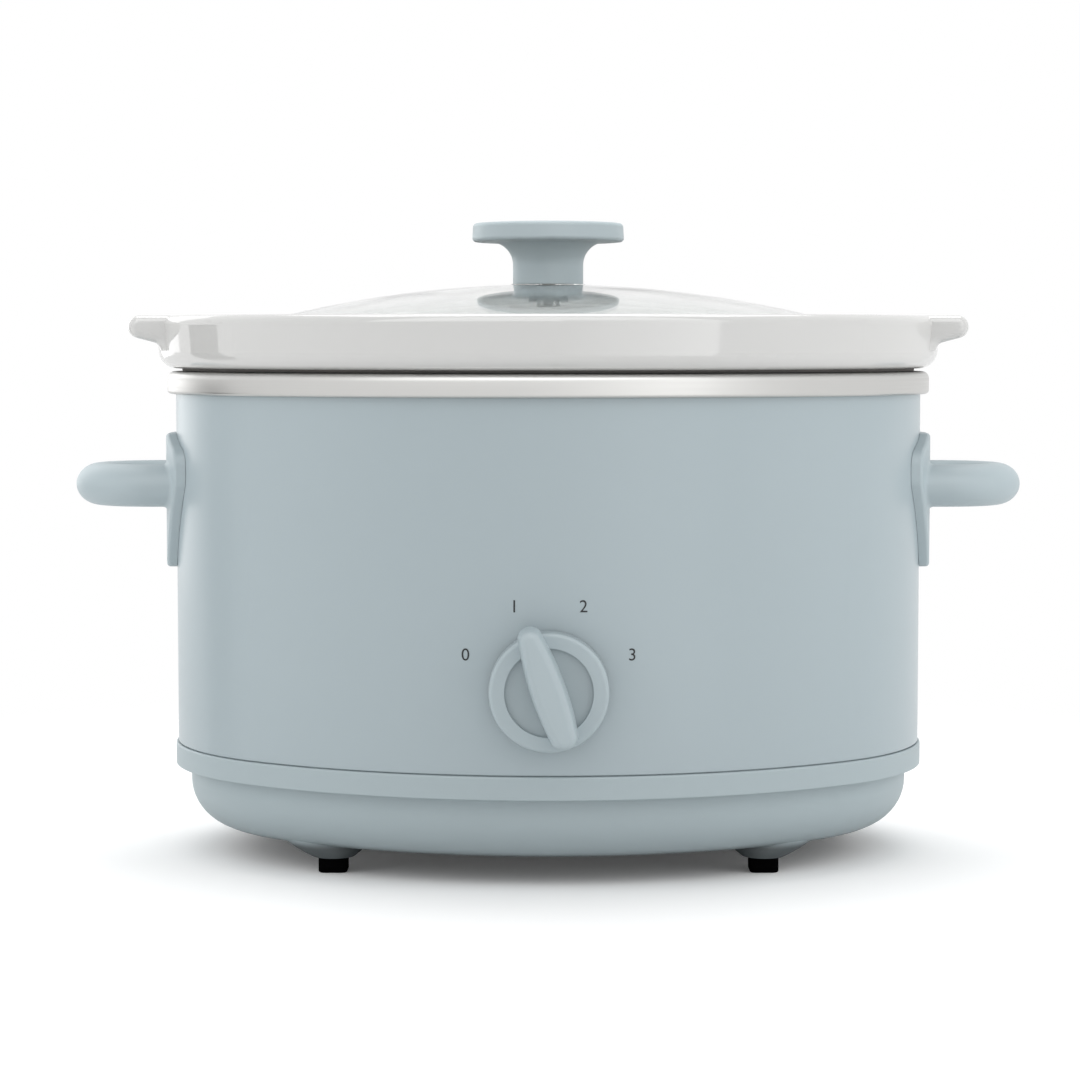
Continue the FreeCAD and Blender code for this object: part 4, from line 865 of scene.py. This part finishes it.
def seen_directly(tree):
    """Mask of the rays that show the backdrop: straight, mirrored or through glass."""
    path = tree.nodes.new("ShaderNodeLightPath")
    first = new_tree_node(tree, "ShaderNodeMath", operation="MAXIMUM")
    second = new_tree_node(tree, "ShaderNodeMath", operation="MAXIMUM")
    tree.links.new(path.outputs["Is Camera Ray"], first.inputs[0])
    tree.links.new(path.outputs["Is Glossy Ray"], first.inputs[1])
    tree.links.new(first.outputs[0], second.inputs[0])
    tree.links.new(path.outputs["Is Transmission Ray"], second.inputs[1])
    return second.outputs[0]


def set_world(scene, stage):
    """White to the camera and in reflections, a plain soft light otherwise."""
    world = bpy.data.worlds.new("studio_world")
    scene.world = world
    world.use_nodes = True
    tree = world.node_tree
    background = tree.nodes["Background"]
    background.inputs["Color"].default_value = (1.0, 1.0, 1.0, 1.0)
    level = new_tree_node(tree, "ShaderNodeMapRange", {"To Min": stage.world_level, "To Max": 1.0})
    tree.links.new(seen_directly(tree), level.inputs["Value"])
    tree.links.new(level.outputs["Result"], background.inputs["Strength"])


def add_floor(stage):
    """Pale floor that is white to the camera where nothing shades it."""
    half = stage.floor_size / 2
    mesh = bpy.data.meshes.new("studio_floor")
    corners = [(-half, -half, 0), (half, -half, 0), (half, half, 0), (-half, half, 0)]
    mesh.from_pydata(corners, [], [(0, 1, 2, 3)])
    floor = bpy.data.objects.new("studio_floor", mesh)
    bpy.context.scene.collection.objects.link(floor)
    material = bpy.data.materials.new("studio_floor")
    material.use_nodes = True
    tree = material.node_tree
    shader = tree.nodes["Principled BSDF"]
    shader.inputs["Roughness"].default_value = 1.0
    shader.inputs["Specular IOR Level"].default_value = 0.0
    path = tree.nodes.new("ShaderNodeLightPath")
    tint = new_tree_node(tree, "ShaderNodeMix", data_type="RGBA")
    tint.inputs["A"].default_value = opaque(stage.floor_colour)
    tint.inputs["B"].default_value = (1.0, 1.0, 1.0, 1.0)
    tree.links.new(path.outputs["Is Camera Ray"], tint.inputs["Factor"])
    tree.links.new(tint.outputs["Result"], shader.inputs["Base Color"])
    tree.links.new(path.outputs["Is Camera Ray"], shader.inputs["Emission Color"])
    shader.inputs["Emission Strength"].default_value = stage.floor_lift
    reach = new_tree_node(tree, "ShaderNodeVectorMath", operation="LENGTH")
    fade = new_tree_node(tree, "ShaderNodeMapRange", {
        "From Min": stage.floor_solid, "From Max": stage.floor_clear, "To Min": 0.0, "To Max": 1.0},
        interpolation_type="SMOOTHSTEP")
    gone = new_tree_node(tree, "ShaderNodeMath", operation="MULTIPLY")
    kept = new_tree_node(tree, "ShaderNodeMath", {0: 1.0}, operation="SUBTRACT")
    tree.links.new(object_point(tree), reach.inputs[0])
    tree.links.new(reach.outputs["Value"], fade.inputs["Value"])
    tree.links.new(fade.outputs["Result"], gone.inputs[0])
    tree.links.new(seen_directly(tree), gone.inputs[1])
    tree.links.new(gone.outputs[0], kept.inputs[1])
    tree.links.new(kept.outputs[0], shader.inputs["Alpha"])
    mesh.materials.append(material)


def add_softbox(name, place, size, power, reflected):
    """Rectangular lamp aimed at the middle of the cooker."""
    lamp = bpy.data.lights.new(name, "AREA")
    lamp.shape = "RECTANGLE"
    lamp.size, lamp.size_y = size
    lamp.energy = power
    holder = bpy.data.objects.new(name, lamp)
    holder.location = place
    aim = Vector((0.0, 0.0, (cad_box[0].z + cad_box[1].z) / 2)) - holder.location
    holder.rotation_euler = aim.to_track_quat("-Z", "Y").to_euler()
    holder.visible_camera = False
    holder.visible_glossy = reflected
    bpy.context.scene.collection.objects.link(holder)


def add_card(name, place, width, heights, levels):
    """Upright card that only reflections see; levels are its brightness at its two upright edges."""
    mesh = bpy.data.meshes.new(name)
    half = width / 2
    low, high = heights
    corners = [(-half, 0, low), (half, 0, low), (half, 0, high), (-half, 0, high)]
    mesh.from_pydata(corners, [], [(0, 1, 2, 3)])
    material = bpy.data.materials.new(name)
    material.use_nodes = True
    tree = material.node_tree
    shader = tree.nodes["Principled BSDF"]
    shader.inputs["Base Color"].default_value = (0.0, 0.0, 0.0, 1.0)
    shader.inputs["Specular IOR Level"].default_value = 0.0
    shader.inputs["Emission Strength"].default_value = 1.0
    parts = tree.nodes.new("ShaderNodeSeparateXYZ")
    level = new_tree_node(tree, "ShaderNodeMapRange", {
        "From Min": -half, "From Max": half, "To Min": levels[0], "To Max": levels[1]})
    tree.links.new(object_point(tree), parts.inputs[0])
    tree.links.new(parts.outputs["X"], level.inputs["Value"])
    tree.links.new(level.outputs["Result"], shader.inputs["Emission Color"])
    mesh.materials.append(material)
    card = bpy.data.objects.new(name, mesh)
    card.location = (*place, 0.0)
    card.rotation_euler = Euler((0.0, 0.0, math.atan2(place[1], place[0]) + math.pi / 2))
    card.visible_camera = False
    card.visible_diffuse = False
    card.visible_transmission = False
    card.visible_shadow = False
    bpy.context.scene.collection.objects.link(card)


def add_camera(scene, stage):
    lens = bpy.data.cameras.new("studio_camera")
    lens.sensor_width = 36.0
    lens.lens = stage.focal_length
    camera = bpy.data.objects.new("studio_camera", lens)
    camera.location = (stage.camera_side, -stage.camera_distance, stage.camera_height)
    camera.rotation_euler = Euler((math.pi / 2 - stage.camera_pitch, 0.0, 0.0))
    scene.collection.objects.link(camera)
    scene.camera = camera


STEPS = (
    COOKER_OT_paint_wall,
    COOKER_OT_finish_base,
    COOKER_OT_finish_trim,
    COOKER_OT_brush_rim,
    COOKER_OT_glaze_crock,
    COOKER_OT_clear_lid,
    COOKER_OT_finish_rubber,
    COOKER_OT_finish_inside,
    COOKER_OT_print_numerals,
    COOKER_OT_set_stage,
)


class COOKER_PT_sidebar(Panel):
    """Finishes and stage of the slow cooker"""

    bl_idname = "COOKER_PT_sidebar"
    bl_label = "Slow Cooker"
    bl_space_type = "VIEW_3D"
    bl_region_type = "UI"
    bl_category = "Slow Cooker"

    def draw(self, context):
        for pointer in GROUPS:
            group = getattr(context.scene, pointer)
            box = self.layout.box()
            for name in group.__annotations__:
                box.prop(group, name)
        for step in STEPS:
            self.layout.operator(step.bl_idname)


GROUPS = {
    "cooker_finish": CookerFinish,
    "cooker_rim": CookerRim,
    "cooker_numerals": CookerNumerals,
    "cooker_stage": CookerStage,
}


def register():
    for cls in (*GROUPS.values(), *STEPS, COOKER_PT_sidebar):
        bpy.utils.register_class(cls)
    for name, cls in GROUPS.items():
        setattr(bpy.types.Scene, name, PointerProperty(type=cls))


def unregister():
    for name in GROUPS:
        delattr(bpy.types.Scene, name)
    for cls in reversed((*GROUPS.values(), *STEPS, COOKER_PT_sidebar)):
        bpy.utils.unregister_class(cls)


def main():
    register()
    bpy.ops.cooker.paint_wall()
    bpy.ops.cooker.finish_base()
    bpy.ops.cooker.finish_trim()
    bpy.ops.cooker.brush_rim()
    bpy.ops.cooker.glaze_crock()
    bpy.ops.cooker.clear_lid()
    bpy.ops.cooker.finish_rubber()
    bpy.ops.cooker.finish_inside()
    bpy.ops.cooker.print_numerals()
    bpy.ops.cooker.set_stage()


if __name__ == "__main__":
    main()
